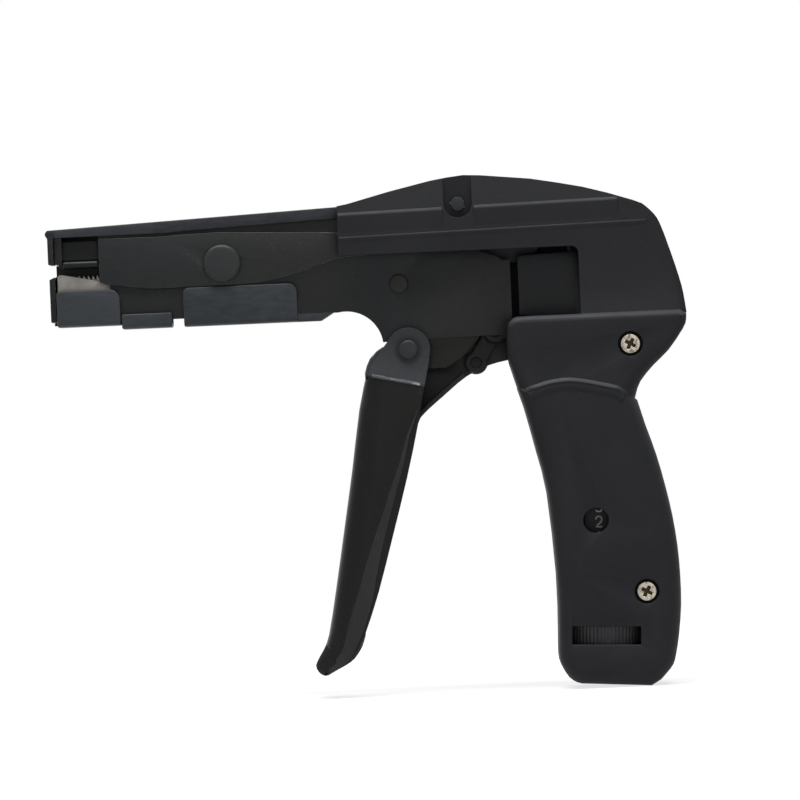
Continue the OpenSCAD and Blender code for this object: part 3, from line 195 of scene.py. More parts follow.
# In the finishes, rough is (glossiest, dullest), and depths and radii are in metres
def moulded_plastic(name, base, light, rough, grain=3400.0, depth=0.01 * MM, top_highlight=0.0, rounding=0.3 * MM):
    """Black moulded plastic with a fine spark-eroded texture and faint handling marks.

    The faces that look upward get a painted highlight: the highlight share says how far they are painted paler.
    """
    n = Nodes(name)
    fine = n.noise(grain, 2.0, 0.5)
    cells = n.voronoi(grain * 0.62)
    broad = n.noise(38.0, 4.0, 0.6)
    rub = n.noise(150.0, 5.0, 0.7, distortion=0.6)
    edge = n.edge(0.84 * MM, 0.03, 0.35)
    worn = n.maths("MULTIPLY", edge, n.ranged(rub, 0.42, 0.7, 0.15, 1.0))
    tone = n.mix(n.ranged(broad, 0.3, 0.7), base, light)
    speck = n.mix(n.ranged(fine, 0.55, 0.8, 0.0, 0.35), tone, shade(light, 1.9))
    # Painted highlight: faces that look upward are painted paler
    upward = n.along("Z", n.geometry_normal())
    highlit = n.mix(n.ranged(upward, 0.12, 0.75, 0.0, top_highlight), speck, shade(light, 4.0))
    colour = n.mix(n.maths("MULTIPLY", worn, 0.35), highlit, shade(light, 2.6))
    roughness = n.ranged(rub, 0.25, 0.75, rough[1], rough[0])
    height = n.maths("ADD", n.maths("MULTIPLY", fine, 0.6), n.maths("MULTIPLY", cells, 0.5))
    normal = n.bump(height, depth, n.rounded(rounding), 0.7)
    return n.finish(colour, roughness, normal, specular=0.14)


def black_oxide(
    name, base, patina, bright, rough=(0.34, 0.52), brush=(1.0, 1.0, 1.0), wear=0.6, specks=0.2, specular=0.16,
    patchy=(0.45, 0.72), zones=()
):
    """Blackened sheet steel: satin, with rolled streaks, brown patina, dust specks and worn bright edges.

    Each zone is (X where it begins, X where it is full, colour).
    """
    n = Nodes(name)
    streaks = n.noise(900.0, 4.0, 0.6, n.stretched(brush))
    broad = n.noise(55.0, 5.0, 0.62)
    patches = n.noise(21.0, 3.0, 0.5, distortion=0.4)
    dots = n.ranged(n.voronoi(1300.0), 0.09, 0.17, 1.0, 0.0)
    dusty = n.maths("MULTIPLY", dots, n.ranged(n.noise(120.0, 3.0, 0.6), 0.5, 0.66))
    scuffs = n.noise(420.0, 6.0, 0.75, distortion=1.2)
    edge = n.edge(0.35 * MM, 0.04, 0.3)
    worn = n.maths("MULTIPLY", edge, n.ranged(scuffs, 0.42, 0.6, 0.1, 1.0))
    tone = n.mix(n.ranged(patches, *patchy), base, patina)
    for begins, full, zone_colour in zones:
        tone = n.mix(n.ranged(n.along("X"), begins, full), tone, zone_colour)
    toned = n.mix(n.ranged(streaks, 0.3, 0.75, 0.0, 0.5), tone, shade(base, 1.7))
    speckled = n.mix(n.maths("MULTIPLY", dusty, specks), toned, shade(bright, 0.09 / max(bright)))
    colour = n.mix(n.maths("MULTIPLY", worn, wear), speckled, bright)
    roughness = n.ranged(n.maths("ADD", broad, n.maths("MULTIPLY", scuffs, 0.6)), 0.55, 1.1, *rough)
    height = n.maths("ADD", n.maths("MULTIPLY", streaks, 0.5), n.maths("MULTIPLY", broad, 0.7))
    normal = n.bump(height, 0.03 * MM, n.rounded(0.22 * MM), 0.6)
    return n.finish(colour, roughness, normal, specular=specular)


def gloss_paint(name, base, tint, specular=0.16, ears=None):
    """Black stoved paint with slight orange peel, rubbed edges and dull smears.

    Ears is for the trigger: the paint is paler from start on in the upward direction, and painted shade darkens it
    round the pin.
    """
    n = Nodes(name)
    peel = n.noise(620.0, 2.0, 0.45)
    smear = n.noise(46.0, 4.0, 0.6, n.stretched((1.0, 1.0, 0.35)), 0.8)
    chips = n.noise(800.0, 5.0, 0.7)
    edge = n.edge(0.42 * MM, 0.06, 0.4)
    worn = n.maths("MULTIPLY", edge, n.ranged(chips, 0.5, 0.68, 0.08, 0.9))
    tone = n.mix(n.ranged(smear, 0.35, 0.7), base, tint)
    colour = n.mix(n.maths("MULTIPLY", worn, 0.4), tone, (0.16, 0.165, 0.17))
    if ears:
        height = n.vector("DOT_PRODUCT", n.vector("SUBTRACT", n.coord, ears["start"]), ears["upward"], "Value")
        above = n.ranged(height, -0.1 * MM, 0.3 * MM)
        fading = n.ranged(height, 0.0, 11 * MM, 1.0, 0.45)
        colour = n.mix(n.maths("MULTIPLY", above, fading), colour, ears["tone"])
        # Painted shade in a ring round the trigger pin
        flat = n.vector("MULTIPLY", n.coord, (1.0, 0.0, 1.0))
        away = n.vector("DISTANCE", flat, ears["pin"], "Value")
        colour = n.mix(n.ranged(away, 3.4 * MM, 4.4 * MM, 0.8, 0.0), colour, ears["pin_shade"])
    roughness = n.ranged(smear, 0.3, 0.75, 0.2, 0.36)
    normal = n.bump(peel, 0.05 * MM, n.rounded(0.25 * MM), 0.45)
    return n.finish(colour, roughness, normal, specular=specular)


def bare_steel(
    name, base, dark, rough, brush=(1.0, 1.0, 6.0), grime_and_reflection=0.6, grime_and_reflection_scale=260.0, edge_wear_and_highlight=1.25, recess_shade=None
):
    """Bare or plated steel with grinding lines, dirt and paler edges; on the screws the dark flecks and the pale edges
    are partly painted reflection.

    The recess shade is (Y where it begins, Y where it is full, colour): painted shade below the screw heads' faces.
    """
    n = Nodes(name)
    lines = n.noise(1500.0, 3.0, 0.6, n.stretched(brush))
    grime_and_reflection_noise = n.noise(grime_and_reflection_scale, 5.0, 0.65, distortion=0.5)
    edge = n.edge(0.28 * MM, 0.04, 0.35)
    tone = n.mix(n.ranged(lines, 0.3, 0.72), shade(base, 0.78), base)
    # Dark flecks: dirt, and on the screws also a painted reflection
    grimy_and_reflected = n.mix(n.maths("MULTIPLY", n.ranged(grime_and_reflection_noise, 0.45, 0.7), grime_and_reflection), tone, dark)
    # Paler edges: wear, and on the screws also a painted highlight
    colour = n.mix(n.maths("MULTIPLY", edge, 0.5), grimy_and_reflected, shade(base, edge_wear_and_highlight))
    # Painted shade in the recesses and below the faces of the screw heads
    if recess_shade:
        begins, full, recess_shade_colour = recess_shade
        colour = n.mix(n.ranged(n.along("Y"), begins, full), colour, recess_shade_colour)
    roughness = n.ranged(grime_and_reflection_noise, 0.3, 0.7, *rough)
    normal = n.bump(lines, 0.02 * MM, n.rounded(0.15 * MM), 0.5)
    return n.finish(colour, roughness, normal, metallic=1.0)


FINISHES = {
    # The housing gets a painted highlight on its upward faces
    "housing_plastic": (moulded_plastic, dict(
        base=(0.0060, 0.0062, 0.0076), light=(0.0083, 0.0085, 0.0099), rough=(0.5, 0.66),
        grain=2600.0, depth=0.04 * MM, top_highlight=0.65
    )),
    "knob_plastic": (moulded_plastic, dict(
        base=(0.026, 0.0264, 0.0286), light=(0.036, 0.0364, 0.0386), rough=(0.4, 0.54), depth=0.02 * MM
    )),
    "scale_plastic": (moulded_plastic, dict(
        base=(0.005, 0.005, 0.0055), light=(0.008, 0.008, 0.0085), rough=(0.5, 0.62)
    )),
    "scale_ink": (moulded_plastic, dict(
        base=(0.11, 0.11, 0.108), light=(0.15, 0.15, 0.146), rough=(0.5, 0.6), rounding=0.01 * MM
    )),
    "frame_steel": (black_oxide, dict(
        base=(0.0058, 0.0066, 0.0071), patina=(0.0108, 0.0108, 0.0088), bright=(0.15, 0.14, 0.12),
        brush=(0.3, 1.0, 1.0), wear=0.4, specks=0.5
    )),
    "barrel_steel": (black_oxide, dict(
        base=(0.0090, 0.0097, 0.0103), patina=(0.0125, 0.0121, 0.0104), bright=(0.26, 0.25, 0.22),
        brush=(0.25, 1.0, 1.0), wear=0.8, specks=0.9
    )),
    "cap_steel": (black_oxide, dict(
        base=(0.018, 0.0190, 0.0225), patina=(0.026, 0.0265, 0.0300), bright=(0.22, 0.23, 0.25),
        brush=(0.3, 1.0, 1.0), wear=0.5, specks=0.25,
        zones=((-0.1248, -0.1236, (0.0118, 0.0124, 0.0155)), (-0.1517, -0.1521, (0.0050, 0.0054, 0.0062)))
    )),
    "guard_steel": (black_oxide, dict(
        base=(0.0195, 0.0225, 0.0255), patina=(0.026, 0.0272, 0.0300), bright=(0.24, 0.25, 0.27),
        brush=(0.3, 1.0, 1.0), specks=0.3, zones=((-0.126, -0.122, (0.0135, 0.0158, 0.0185)),)
    )),
    "anvil_steel": (black_oxide, dict(
        base=(0.0026, 0.0030, 0.0035), patina=(0.0044, 0.0048, 0.0052), bright=(0.28, 0.29, 0.31)
    )),
    "rivet_steel": (black_oxide, dict(
        base=(0.0125, 0.0133, 0.0140), patina=(0.0180, 0.0180, 0.0176), bright=(0.24, 0.24, 0.23), specks=0.4
    )),
    "frame_pin_steel": (black_oxide, dict(
        base=(0.0078, 0.0078, 0.0070), patina=(0.021, 0.0185, 0.013), bright=(0.32, 0.28, 0.20),
        specks=0.6, patchy=(0.4, 0.6)
    )),
    "yoke_steel": (black_oxide, dict(
        base=(0.0050, 0.0056, 0.0066), patina=(0.007, 0.0072, 0.0072), bright=(0.12, 0.12, 0.11),
        wear=0.4, specks=0.15
    )),
    "arm_steel": (black_oxide, dict(
        base=(0.0060, 0.0066, 0.0080), patina=(0.008, 0.0082, 0.0086), bright=(0.14, 0.14, 0.13), wear=0.35
    )),
    "lever_steel": (black_oxide, dict(
        base=(0.0038, 0.0039, 0.0031), patina=(0.0062, 0.0060, 0.0042), bright=(0.14, 0.135, 0.10),
        wear=0.4, specks=0.3
    )),
    "link_steel": (black_oxide, dict(
        base=(0.0022, 0.0023, 0.0026), patina=(0.0034, 0.0034, 0.0032), bright=(0.03, 0.03, 0.03), wear=0.1
    )),
    "pin_steel": (black_oxide, dict(
        base=(0.0085, 0.0089, 0.0094), patina=(0.0125, 0.0124, 0.0120), bright=(0.10, 0.10, 0.10),
        rough=(0.5, 0.65), wear=0.1, specks=0.1, specular=0.05
    )),
    "blade_steel": (black_oxide, dict(
        base=(0.0044, 0.0048, 0.0054), patina=(0.0075, 0.0075, 0.0075), bright=(0.3, 0.3, 0.3), specks=0.4
    )),
    "trigger_paint": (gloss_paint, dict(
        base=(0.0042, 0.0044, 0.0043), tint=(0.0064, 0.0064, 0.0059), specular=0.12,
        # The ears' last colour is painted shade round the trigger pin
        ears=dict(
            start=(-0.0643, 0.0, 0.0892), upward=(0.217, 0.0, 0.976), tone=(0.034, 0.0362, 0.040),
            pin=(-0.054, 0.0, 0.0964), pin_shade=(0.010, 0.0105, 0.011)
        )
    )),
    # A paler copy of the trigger paint, a painted reflection on the trigger's rear facet
    "trigger_satin": (gloss_paint, dict(base=(0.0098, 0.0099, 0.0108), tint=(0.0140, 0.0138, 0.0136))),
    # A paler copy of the trigger paint, a painted highlight on the step under the ears
    "trigger_edge": (gloss_paint, dict(base=(0.032, 0.034, 0.038), tint=(0.062, 0.065, 0.070))),
    "spring_steel": (bare_steel, dict(base=(0.42, 0.42, 0.43), dark=(0.14, 0.13, 0.12), rough=(0.22, 0.36))),
    "carrier_zinc": (bare_steel, dict(base=(0.24, 0.24, 0.25), dark=(0.10, 0.10, 0.10), rough=(0.4, 0.55))),
    "pawl_steel": (bare_steel, dict(
        base=(0.27, 0.257, 0.237), dark=(0.16, 0.15, 0.135), rough=(0.46, 0.62), brush=(6.0, 1.0, 1.0), grime_and_reflection=0.5
    )),
    # The screws' dark flecks and paler edges are partly painted reflection
    "screw_nickel": (bare_steel, dict(
        base=(0.46, 0.415, 0.345), dark=(0.08, 0.06, 0.04), rough=(0.2, 0.4), brush=(1.0, 1.0, 1.0),
        # Painted shade inside the screw heads, deeper than their faces, in the last colour
        grime_and_reflection=1.0, grime_and_reflection_scale=950.0, edge_wear_and_highlight=1.9, recess_shade=(-0.01168, -0.01145, (0.03, 0.022, 0.015))
    )),
}
MATERIALS = {name: finish(name, **looks) for name, (finish, looks) in FINISHES.items()}

# ---------------------------------------------------------------- CAD nodes: clean edges and finish
SMOOTH_ANGLE = math.radians(32)
BEVEL_ANGLE = math.radians(34)
FLAT_ANGLE = math.radians(0.6)
WELD_REACH = 0.002 * MM
BEVEL_DEFAULT = 0.2 * MM
# Nodes whose edges are rounded by another width, or at 0.0 not at all
BEVEL_WIDTH = {
    "housing_left": 0.3 * MM, "housing_right": 0.3 * MM, "nose_guard": 0.45 * MM, "barrel_guard": 0.45 * MM,
    "barrel_tab": 0.45 * MM, "top_cap": 0.4 * MM, "gripper_pawl": 0.12 * MM, "trigger": 0.0,
    "tension_knob": 0.0, "tension_spring": 0.0, "return_spring": 0.0, "pawl_spring": 0.0,
}
# The housing keeps its shallow creases too, on faces that look sideways and lie above the ledge
CREASED = ("housing_left", "housing_right")
CREASE_ANGLE = math.radians(3.5)
CREASE_SIDEWAYS = 0.72
LEDGE_Z = 0.1047


def smooth_group(name, creased):
    """Geometry nodes that shade smooth but keep sharp edges, and on a creased part the shallow ones on its sides."""
    group = bpy.data.node_groups.new(name, "GeometryNodeTree")
    group.interface.new_socket("Geometry", in_out="INPUT", socket_type="NodeSocketGeometry")
    group.interface.new_socket("Geometry", in_out="OUTPUT", socket_type="NodeSocketGeometry")
    link = group.links.new

    def above(value, limit):
        n = group.nodes.new("FunctionNodeCompare")
        n.data_type = "FLOAT"
        n.operation = "GREATER_THAN"
        n.inputs["B"].default_value = limit
        link(value, n.inputs["A"])
        return n.outputs[0]

    def logic(operation, a, b):
        n = group.nodes.new("FunctionNodeBooleanMath")
        n.operation = operation
        link(a, n.inputs[0])
        link(b, n.inputs[1])
        return n.outputs[0]

    def part(vector, axis):
        n = group.nodes.new("ShaderNodeSeparateXYZ")
        link(vector, n.inputs[0])
        return n.outputs[axis]

    start = group.nodes.new("NodeGroupInput")
    end = group.nodes.new("NodeGroupOutput")
    faces = group.nodes.new("GeometryNodeSetShadeSmooth")
    faces.domain = "FACE"
    angle = group.nodes.new("GeometryNodeInputMeshEdgeAngle").outputs["Unsigned Angle"]
    sharp = above(angle, SMOOTH_ANGLE)
    if creased:
        on_faces = group.nodes.new("GeometryNodeFieldOnDomain")
        on_faces.domain = "FACE"
        on_faces.data_type = "FLOAT_VECTOR"
        link(group.nodes.new("GeometryNodeInputNormal").outputs[0], on_faces.inputs[0])
        sideways = group.nodes.new("ShaderNodeMath")
        sideways.operation = "ABSOLUTE"
        link(part(on_faces.outputs[0], "Y"), sideways.inputs[0])
        place = group.nodes.new("GeometryNodeInputPosition").outputs[0]
        on_side = logic("AND", above(sideways.outputs[0], CREASE_SIDEWAYS), above(part(place, "Z"), LEDGE_Z))
        sharp = logic("OR", sharp, logic("AND", on_side, above(angle, CREASE_ANGLE)))
    edges = group.nodes.new("GeometryNodeSetShadeSmooth")
    edges.domain = "EDGE"
    edges.inputs["Shade Smooth"].default_value = False
    link(start.outputs[0], faces.inputs["Geometry"])
    link(faces.outputs[0], edges.inputs["Geometry"])
    link(sharp, edges.inputs["Selection"])
    link(edges.outputs[0], end.inputs[0])
    return group


SMOOTH = smooth_group("smooth_edges", False)
SMOOTH_CREASED = smooth_group("smooth_creases", True)


def dress(obj, width):
    """Joins the split corners, rounds the edges by width and shades the rest smooth."""
    for name in ("custom_normal", "sharp_edge", "sharp_face"):
        attribute = obj.data.attributes.get(name)
        if attribute:
            obj.data.attributes.remove(attribute)
    weld = obj.modifiers.new("weld", "WELD")
    weld.merge_threshold = WELD_REACH
    if width:
        flat = obj.modifiers.new("flat", "DECIMATE")
        flat.decimate_type = "DISSOLVE"
        flat.angle_limit = FLAT_ANGLE
        bevel = obj.modifiers.new("edge", "BEVEL")
        bevel.width = width
        bevel.segments = 2
        bevel.limit_method = "ANGLE"
        bevel.angle_limit = BEVEL_ANGLE
        bevel.use_clamp_overlap = True
        bevel.miter_outer = "MITER_ARC"
        bevel.harden_normals = False
    smooth = obj.modifiers.new("smooth", "NODES")
    smooth.node_group = SMOOTH_CREASED if obj.name in CREASED else SMOOTH


for name, obj in nodes.items():
    for slot in obj.material_slots:
        slot.material = MATERIALS[slot.material.name.split(".")[0]]
    dress(obj, BEVEL_WIDTH.get(name, BEVEL_DEFAULT))

# ---------------------------------------------------------------- tools for pieces laid on the parts
SUNK = 0.25  # mm that a draped strip reaches into its part
trees = {}


def surface(node, x, z, side):
    """Sideways place of the node's outermost surface at x, z, or None beside it."""
    if node not in trees:
        obj = nodes[node]
        points = [obj.matrix_world @ v.co for v in obj.data.vertices]
        trees[node] = BVHTree.FromPolygons(points, [tuple(f.vertices) for f in obj.data.polygons])
    hit = trees[node].ray_cast(Vector((x, side * 0.1, z)), Vector((0, -side, 0)))[0]
    return hit.y if hit else None


def piece(name, points, faces, home):
    """A mesh piece; home gives the body that it rides, a material slot that is not used, and its material."""
    body, slot, material = home
    mesh = bpy.data.meshes.new(name)
    mesh.from_pydata(points, [], faces)
    bm = bmesh.new()
    bm.from_mesh(mesh)
    bmesh.ops.recalc_face_normals(bm, faces=bm.faces)
    bm.to_mesh(mesh)
    bm.free()
    obj = bpy.data.objects.new(name, mesh)
    scene.collection.objects.link(obj)
    mesh.materials.append(material)
    group = obj.modifiers.new("smooth", "NODES")
    group.node_group = SMOOTH
    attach(obj, body)


def tube_faces(stations, count):
    """Faces of a closed loop of count points carried through the stations, with both ends shut."""
    faces = [
        (i * count + k, i * count + (k + 1) % count, (i + 1) * count + (k + 1) % count, (i + 1) * count + k)
        for i in range(stations - 1) for k in range(count)
    ]
    return faces + [tuple(range(count)), tuple(range((stations - 1) * count, stations * count))]


def neighbours(path, i):
    """Direction of the path (pairs of numbers) at its point i."""
    before, after = path[max(i - 1, 0)], path[min(i + 1, len(path) - 1)]
    return Vector((after[0] - before[0], after[1] - before[1])).normalized()


def laid_on(node, side, stations, outs):
    """Points (x, y, z) of loops of (x, z) in mm, each outs mm off the node's side face."""
    points, last = [], None
    for station in stations:
        for (x, z), out in zip(station, outs):
            y = surface(node, x * MM, z * MM, side)
            last = y if y is not None else last
            points.append((x * MM, last + side * out * MM, z * MM))
    return points


def closed(profile):
    """The profile (across, outward) with its two lower corners, sunk into the part."""
    return profile + [(profile[-1][0], -SUNK), (profile[0][0], -SUNK)]


def draped(name, path, profile, node, side, home):
    """A strip along path (x, z in mm) whose profile (across, outward in mm) stands on the node's side face."""
    loop, stations = closed(profile), []
    for i, (x, z) in enumerate(path):
        along = neighbours(path, i)
        stations.append([(x - along.y * across, z + along.x * across) for across, _ in loop])
    points = laid_on(node, side, stations, [out for _, out in loop])
    piece(name, points, tube_faces(len(stations), len(loop)), home)


def band(name, borders, profile, node, side, home):
    """A strip between two borders; the profile gives (share of the way across, outward in mm)."""
    loop = closed(profile)
    stations = [
        [(ax + (bx - ax) * share, az + (bz - az) * share) for share, _ in loop] for (ax, az), (bx, bz) in borders
    ]
    points = laid_on(node, side, stations, [out for _, out in loop])
    piece(name, points, tube_faces(len(stations), len(loop)), home)


def ribbon(name, lines, width, y, height, home):
    """Raised strokes along lines of (x, z) in metres, standing on y towards the left.

    Strokes that meet differ a little in height, so that their tops never share a plane.
    """
    points, faces = [], []
    for order, line in enumerate(lines):
        start, top = len(points), height * (1 + 0.2 * (order % 3))
        for i, (x, z) in enumerate(line):
            along = neighbours(line, i)
            for across, out in ((-0.5, 0.0), (-0.42, 1.0), (0.42, 1.0), (0.5, 0.0)):
                points.append((x - along.y * across * width, y - out * top, z + along.x * across * width))
        faces += [tuple(start + k for k in face) for face in tube_faces(len(line), 4)]
    piece(name, points, faces, home)


def plate(name, outline, y0, y1, chamfer, home):
    """A flat plate of an outline in mm between y0 and y1, with chamfered edges."""
    middle = Vector((sum(p[0] for p in outline), sum(p[1] for p in outline))) / len(outline)
    rings = []
    for y, inward in ((y0, chamfer), (y0 + chamfer, 0.0), (y1 - chamfer, 0.0), (y1, chamfer)):
        for p in outline:
            toward = (middle - Vector(p)).normalized() * inward
            rings.append(((p[0] + toward.x) * MM, y * MM, (p[1] + toward.y) * MM))
    piece(name, rings, tube_faces(4, len(outline)), home)


def part_way(a, b, share):
    return (a[0] + (b[0] - a[0]) * share, a[1] + (b[1] - a[1]) * share)


def fine(path, step):
    """The path with points no further apart than step."""
    out = [path[0]]
    for a, b in zip(path, path[1:]):
        n = max(1, math.ceil(math.dist(a, b) / step))
        out += [part_way(a, b, k / n) for k in range(1, n + 1)]
    return out


def curve(path):
    """The path rounded off by cutting its corners three times."""
    for _ in range(3):
        cut = [path[0]]
        for a, b in zip(path, path[1:]):
            cut += [part_way(a, b, 0.25), part_way(a, b, 0.75)]
        path = cut + [path[-1]]
    return path


# ---------------------------------------------------------------- trim of the housing and the trigger, in mm
ON_HOUSING = ("frame", "housing_plastic", MATERIALS["housing_plastic"])
ON_TRIGGER, SHEEN_FACET_HOME, HIGHLIT_STEP_HOME = (
    ("trigger", "trigger_paint", MATERIALS[name]) for name in ("trigger_paint", "trigger_satin", "trigger_edge")
)

# Lit edges of the housing's shallow creases: name, X from and to, height over X 0, profile
CREASE_SLOPE = 0.0165
UPPER_PROFILE = [(0.75, 0.0), (0.58, 0.06), (0.1, 0.3), (-0.15, 0.34), (-0.5, 0.33), (-5.5, -0.04)]
LOWER_PROFILE = [(0.35, 0.0), (0.05, 0.12), (-0.3, 0.12), (-1.2, 0.0)]
CREASES = (
    ("front", -72.2, -42.9, 135.9, UPPER_PROFILE),
    ("rear", -33.9, 6.3, 135.9, UPPER_PROFILE),
    ("low", -72.2, 14.0, 129.5, LOWER_PROFILE),
)

# Rounded ridge on the arched step of the grip
ARC = [
    (-21.5, 83.7), (-17.6, 84.9), (-15.2, 85.6), (-9.9, 86.2), (-5.8, 85.6), (-2.5, 84.9), (0.1, 84.25),
    (3.4, 83.5), (5.0, 82.7), (6.6, 81.2),
]
RIDGE_PROFILE = [
    (0.55, 0.0), (0.4, 0.16), (0.0, 0.34), (-0.5, 0.36), (-0.9, 0.2), (-1.2, 0.2), (-1.6, 0.32), (-2.2, 0.26),
    (-3.2, 0.0),
]

# Rear and front border of the rolled facet along the back of the trigger, which wears a paler copy of the paint as a
# painted reflection
FACET = [
    ((-50.9, 85.3), (-51.2, 85.3)), ((-52.6, 77.6), (-53.0, 77.7)), ((-54.6, 72.1), (-55.5, 72.4)),
    ((-56.8, 63.6), (-58.1, 64.0)), ((-59.0, 56.6), (-60.8, 57.2)), ((-60.9, 50.4), (-63.0, 51.0)),
    ((-63.2, 43.0), (-65.9, 43.8)), ((-65.6, 33.3), (-69.2, 34.4)), ((-67.0, 26.8), (-71.2, 28.0)),
    ((-69.3, 19.6), (-73.8, 20.8)), ((-71.5, 14.7), (-75.2, 15.7)), ((-72.9, 11.8), (-76.4, 12.3)),
    ((-75.5, 8.8), (-78.0, 10.6)), ((-80.2, 6.5), (-82.6, 8.9)),
]
FACET_PROFILE = [(0.0, 0.05), (0.08, 0.22), (0.45, 0.26), (1.0, 0.03)]
# Bright step under the trigger's ears: a paler copy of the paint, a painted highlight
STEP = [(-64.6, 89.27), (-51.1, 86.27)]
STEP_PROFILE = [(0.75, 0.0), (0.5, 0.3), (0.1, 0.42), (-0.15, 0.3), (-0.25, 0.0)]


def crease(x0, x1, height):
    """A line from x0 to x1 that rises with the housing's top, at this height over X 0."""
    return fine([(x, height + CREASE_SLOPE * x) for x in (x0, x1)], 2.0)


for side, end in ((LEFT, "left"), (RIGHT, "right")):
    shell = "housing_" + end
    for part, x0, x1, height, profile in CREASES:
        draped(f"crease_{part}_{end}", crease(x0, x1, height), profile, shell, side, ON_HOUSING)
    draped(f"grip_ridge_{end}", curve(ARC), RIDGE_PROFILE, shell, side, ON_HOUSING)
    band(f"trigger_facet_{end}", FACET, FACET_PROFILE, "trigger", side, SHEEN_FACET_HOME)
    draped(f"trigger_step_{end}", fine(STEP, 1.2), STEP_PROFILE, "trigger", side, HIGHLIT_STEP_HOME)

FOLD_SIDE = 5.4
plate(
    "trigger_front_fold", [
        (-66.4, 88.6), (-66.5, 90.2), (-65.9, 92.3), (-64.9, 94.3), (-62.9, 96.4), (-61.1, 97.5), (-60.0, 96.6),
        (-61.9, 94.3), (-63.3, 91.5), (-64.0, 89.0)
    ], -FOLD_SIDE, FOLD_SIDE, 0.5, ON_TRIGGER
)

# The tip is a little narrower than the shell where it joins it
tip_side = abs(surface("trigger", -77.5 * MM, 11.5 * MM, LEFT)) / MM - 0.3
plate(
    "trigger_tip", [
        (-80.6, 14.4), (-81.5, 12.9), (-82.4, 11.5), (-83.3, 10.0), (-83.75, 9.0), (-83.6, 7.9), (-83.0, 6.9),
        (-82.1, 6.1), (-81.2, 5.8), (-80.3, 5.95), (-77.6, 7.4), (-75.4, 8.5), (-74.0, 9.35), (-72.9, 10.2),
        (-71.9, 11.4), (-71.2, 12.4), (-70.5, 13.6), (-69.95, 15.0), (-69.5, 16.4), (-69.35, 17.7),
        (-71.5, 17.0), (-76.0, 14.5)
    ], -tip_side, tip_side, 1.1, ON_TRIGGER
)

# A washer behind the arm pin, so that no light shows through its bore
WASHER_CENTRE, WASHER_RADIUS, WASHER_POINTS = (-35.02, 91.95), 2.3, 24
plate(
    "arm_pin_washer", [
        (WASHER_CENTRE[0] + WASHER_RADIUS * math.cos(turned), WASHER_CENTRE[1] + WASHER_RADIUS * math.sin(turned))
        for turned in (2 * math.pi * k / WASHER_POINTS for k in range(WASHER_POINTS))
    ], 3.2, 3.34, 0.02, ("trigger", "arm_steel", MATERIALS["arm_steel"])
)

# ---------------------------------------------------------------- numbers on the scale
# Each number is a list of strokes of (share of the width, share of the height)
ONE = [[(0.28, 0.78), (0.58, 1.0)], [(0.58, 1.0), (0.58, 0.0)]]
TWO = [[
    (0.06, 0.70), (0.10, 0.84), (0.24, 0.96), (0.46, 1.0), (0.70, 0.96), (0.86, 0.84), (0.90, 0.70), (0.86, 0.56),
    (0.72, 0.41), (0.48, 0.25), (0.22, 0.10), (0.08, 0.0), (0.5, 0.0), (0.98, 0.0),
]]
THREE = [[
    (0.08, 0.86), (0.26, 0.97), (0.50, 1.0), (0.76, 0.94), (0.88, 0.78), (0.80, 0.62), (0.52, 0.54), (0.82, 0.44),
    (0.92, 0.26), (0.80, 0.08), (0.50, 0.0), (0.22, 0.03), (0.05, 0.16),
]]
FOUR = [[(0.72, 0.0), (0.72, 1.0)], [(0.72, 1.0), (0.04, 0.28)], [(0.04, 0.28), (0.98, 0.28)]]
FIVE = [[
    (0.86, 1.0), (0.20, 1.0), (0.13, 0.55), (0.48, 0.62), (0.80, 0.52), (0.92, 0.30), (0.80, 0.08), (0.48, 0.0),
    (0.20, 0.03), (0.04, 0.14),
]]
NUMBER_WIDTH, NUMBER_HEIGHT, NUMBER_PITCH = 1.95, 2.9, 4.2
STROKE_WIDTH = 0.42 * MM
STROKE_HEIGHT = 0.06 * MM
INK_GAP = 0.01 * MM


def numeral(stroke, x, z):
    """A stroke of a number whose lower left corner is at x, z in mm, upright in the photograph."""
    return [
        (
            (x + u * NUMBER_WIDTH * right.x + v * NUMBER_HEIGHT * up.x) * MM,
            (z + u * NUMBER_WIDTH * right.z + v * NUMBER_HEIGHT * up.z) * MM
        )
        for u, v in stroke
    ]


# The 2 and the 3 stand where the photograph has them. The others follow along the strip, whose way is that of
# its edge which rises furthest
strip = nodes["number_scale"]
ends = [[strip.matrix_world @ strip.data.vertices[i].co for i in edge.vertices] for edge in strip.data.edges]
rising = [(b - a) if b.z > a.z else (a - b) for a, b in ends]
strip_way = max(rising, key=lambda way: abs(way.z)).normalized() * NUMBER_PITCH
two_x, two_z, three_x, three_z = -3.75, 44.5, -3.55, 48.7
NUMBERS = [
    (ONE, two_x - strip_way.x, two_z - strip_way.z), (TWO, two_x, two_z), (THREE, three_x, three_z),
    (FOUR, three_x + strip_way.x, three_z + strip_way.z), (FIVE, three_x + 2 * strip_way.x, three_z + 2 * strip_way.z),
]
strip_face = surface("number_scale", -3.6 * MM, 46.3 * MM, LEFT)
ribbon(
    "scale_numbers", [numeral(stroke, x, z) for strokes, x, z in NUMBERS for stroke in strokes],
    STROKE_WIDTH, strip_face + INK_GAP, STROKE_HEIGHT, ("tension_carrier", "scale_plastic", MATERIALS["scale_ink"])
)

# A narrow plate that closes the slit behind the cutter blade
plate(
    "mouth_plate_far", [
        (-153.5, 107.4), (-150.6, 107.4), (-150.6, 124.4), (-152.4, 124.4), (-152.4, 121.4), (-153.5, 120.6)
    ], 4.5, 5.0, 0.08, ("frame", "frame_steel", MATERIALS["frame_steel"])
)

# ---------------------------------------------------------------- floor, lights and world
FLOOR_TONE = 0.86
FLOOR_RADIUS = 0.45
FLOOR_GLOW = 0.72
SKY_COLOUR = (0.97, 0.985, 1.0, 1)
SKY_STRENGTH = 0.28
WHITE = (1, 1, 1, 1)


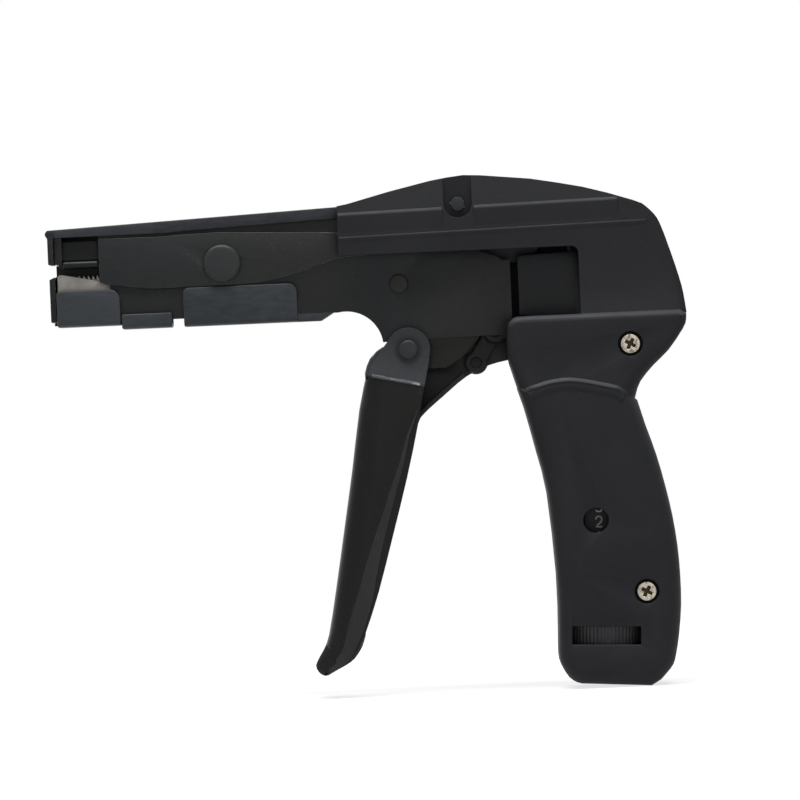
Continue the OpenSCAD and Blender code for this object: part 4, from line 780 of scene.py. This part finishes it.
def seen_ray(tree):
    """1 for rays that show a surface: from the camera, off gloss and through glass."""
    path = tree.nodes.new("ShaderNodeLightPath")
    total = path.outputs["Is Camera Ray"]
    for name in ("Is Glossy Ray", "Is Transmission Ray"):
        higher = tree.nodes.new("ShaderNodeMath")
        higher.operation = "MAXIMUM"
        tree.links.new(total, higher.inputs[0])
        tree.links.new(path.outputs[name], higher.inputs[1])
        total = higher.outputs["Value"]
    return total


def floor_material():
    """Pale matt floor that shows as near white and keeps the shadow."""
    n = Nodes("floor_pale")
    grain = n.noise(300.0, 3.0, 0.6)
    pale = (FLOOR_TONE,) * 3
    colour = n.mix(n.ranged(grain, 0.3, 0.7), pale, shade(pale, 0.985))
    n.finish(colour, n.ranged(grain, 0.3, 0.7, 0.85, 0.95), n.bump(grain, 0.05 * MM), specular=0.1)
    glow = n.node("ShaderNodeEmission")
    glow.inputs["Color"].default_value = WHITE
    blend = n.node("ShaderNodeMixShader")
    n.link(n.maths("MULTIPLY", seen_ray(n.tree), FLOOR_GLOW), blend.inputs[0])
    n.link(n.shader.outputs[0], blend.inputs[1])
    n.link(glow.outputs[0], blend.inputs[2])
    n.link(blend.outputs[0], n.tree.nodes["Material Output"].inputs["Surface"])
    return n.mat


bm = bmesh.new()
bmesh.ops.create_circle(bm, cap_ends=True, segments=96, radius=FLOOR_RADIUS)
mesh = bpy.data.meshes.new("floor")
bm.to_mesh(mesh)
bm.free()
floor = bpy.data.objects.new("floor", mesh)
floor.location = (0, 0, min(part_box(name)[0].z for name in nodes))
scene.collection.objects.link(floor)
mesh.materials.append(floor_material())

AIM = Vector((-0.06, 0.0, 0.08))


def area_light(name, place, size, power):
    """A white rectangular lamp that points at the middle of the tool."""
    data = bpy.data.lights.new(name, "AREA")
    data.shape = "RECTANGLE"
    data.size, data.size_y = size
    data.energy = power
    obj = bpy.data.objects.new(name, data)
    obj.location = place
    obj.rotation_euler = (AIM - Vector(place)).to_track_quat("-Z", "Y").to_euler()
    scene.collection.objects.link(obj)


area_light("key_top", (-0.12, -0.24, 1.0), (1.0, 0.3), 20.0)
area_light("fill_front", (0.35, -1.3, 0.3), (1.0, 0.8), 1.5)
area_light("rim_back", (-0.2, 0.6, 0.7), (1.2, 0.4), 3.0)

# The world lights the object softly in grey, and is white wherever it is seen or mirrored
world = bpy.data.worlds.new("studio")
world.use_nodes = True
tree = world.node_tree
soft = tree.nodes["Background"]
soft.inputs["Color"].default_value = SKY_COLOUR
soft.inputs["Strength"].default_value = SKY_STRENGTH
white = tree.nodes.new("ShaderNodeBackground")
white.inputs["Color"].default_value = WHITE
white.inputs["Strength"].default_value = 1.0
mix = tree.nodes.new("ShaderNodeMixShader")
tree.links.new(seen_ray(tree), mix.inputs[0])
tree.links.new(soft.outputs[0], mix.inputs[1])
tree.links.new(white.outputs[0], mix.inputs[2])
tree.links.new(mix.outputs[0], tree.nodes["World Output"].inputs["Surface"])
scene.world = world
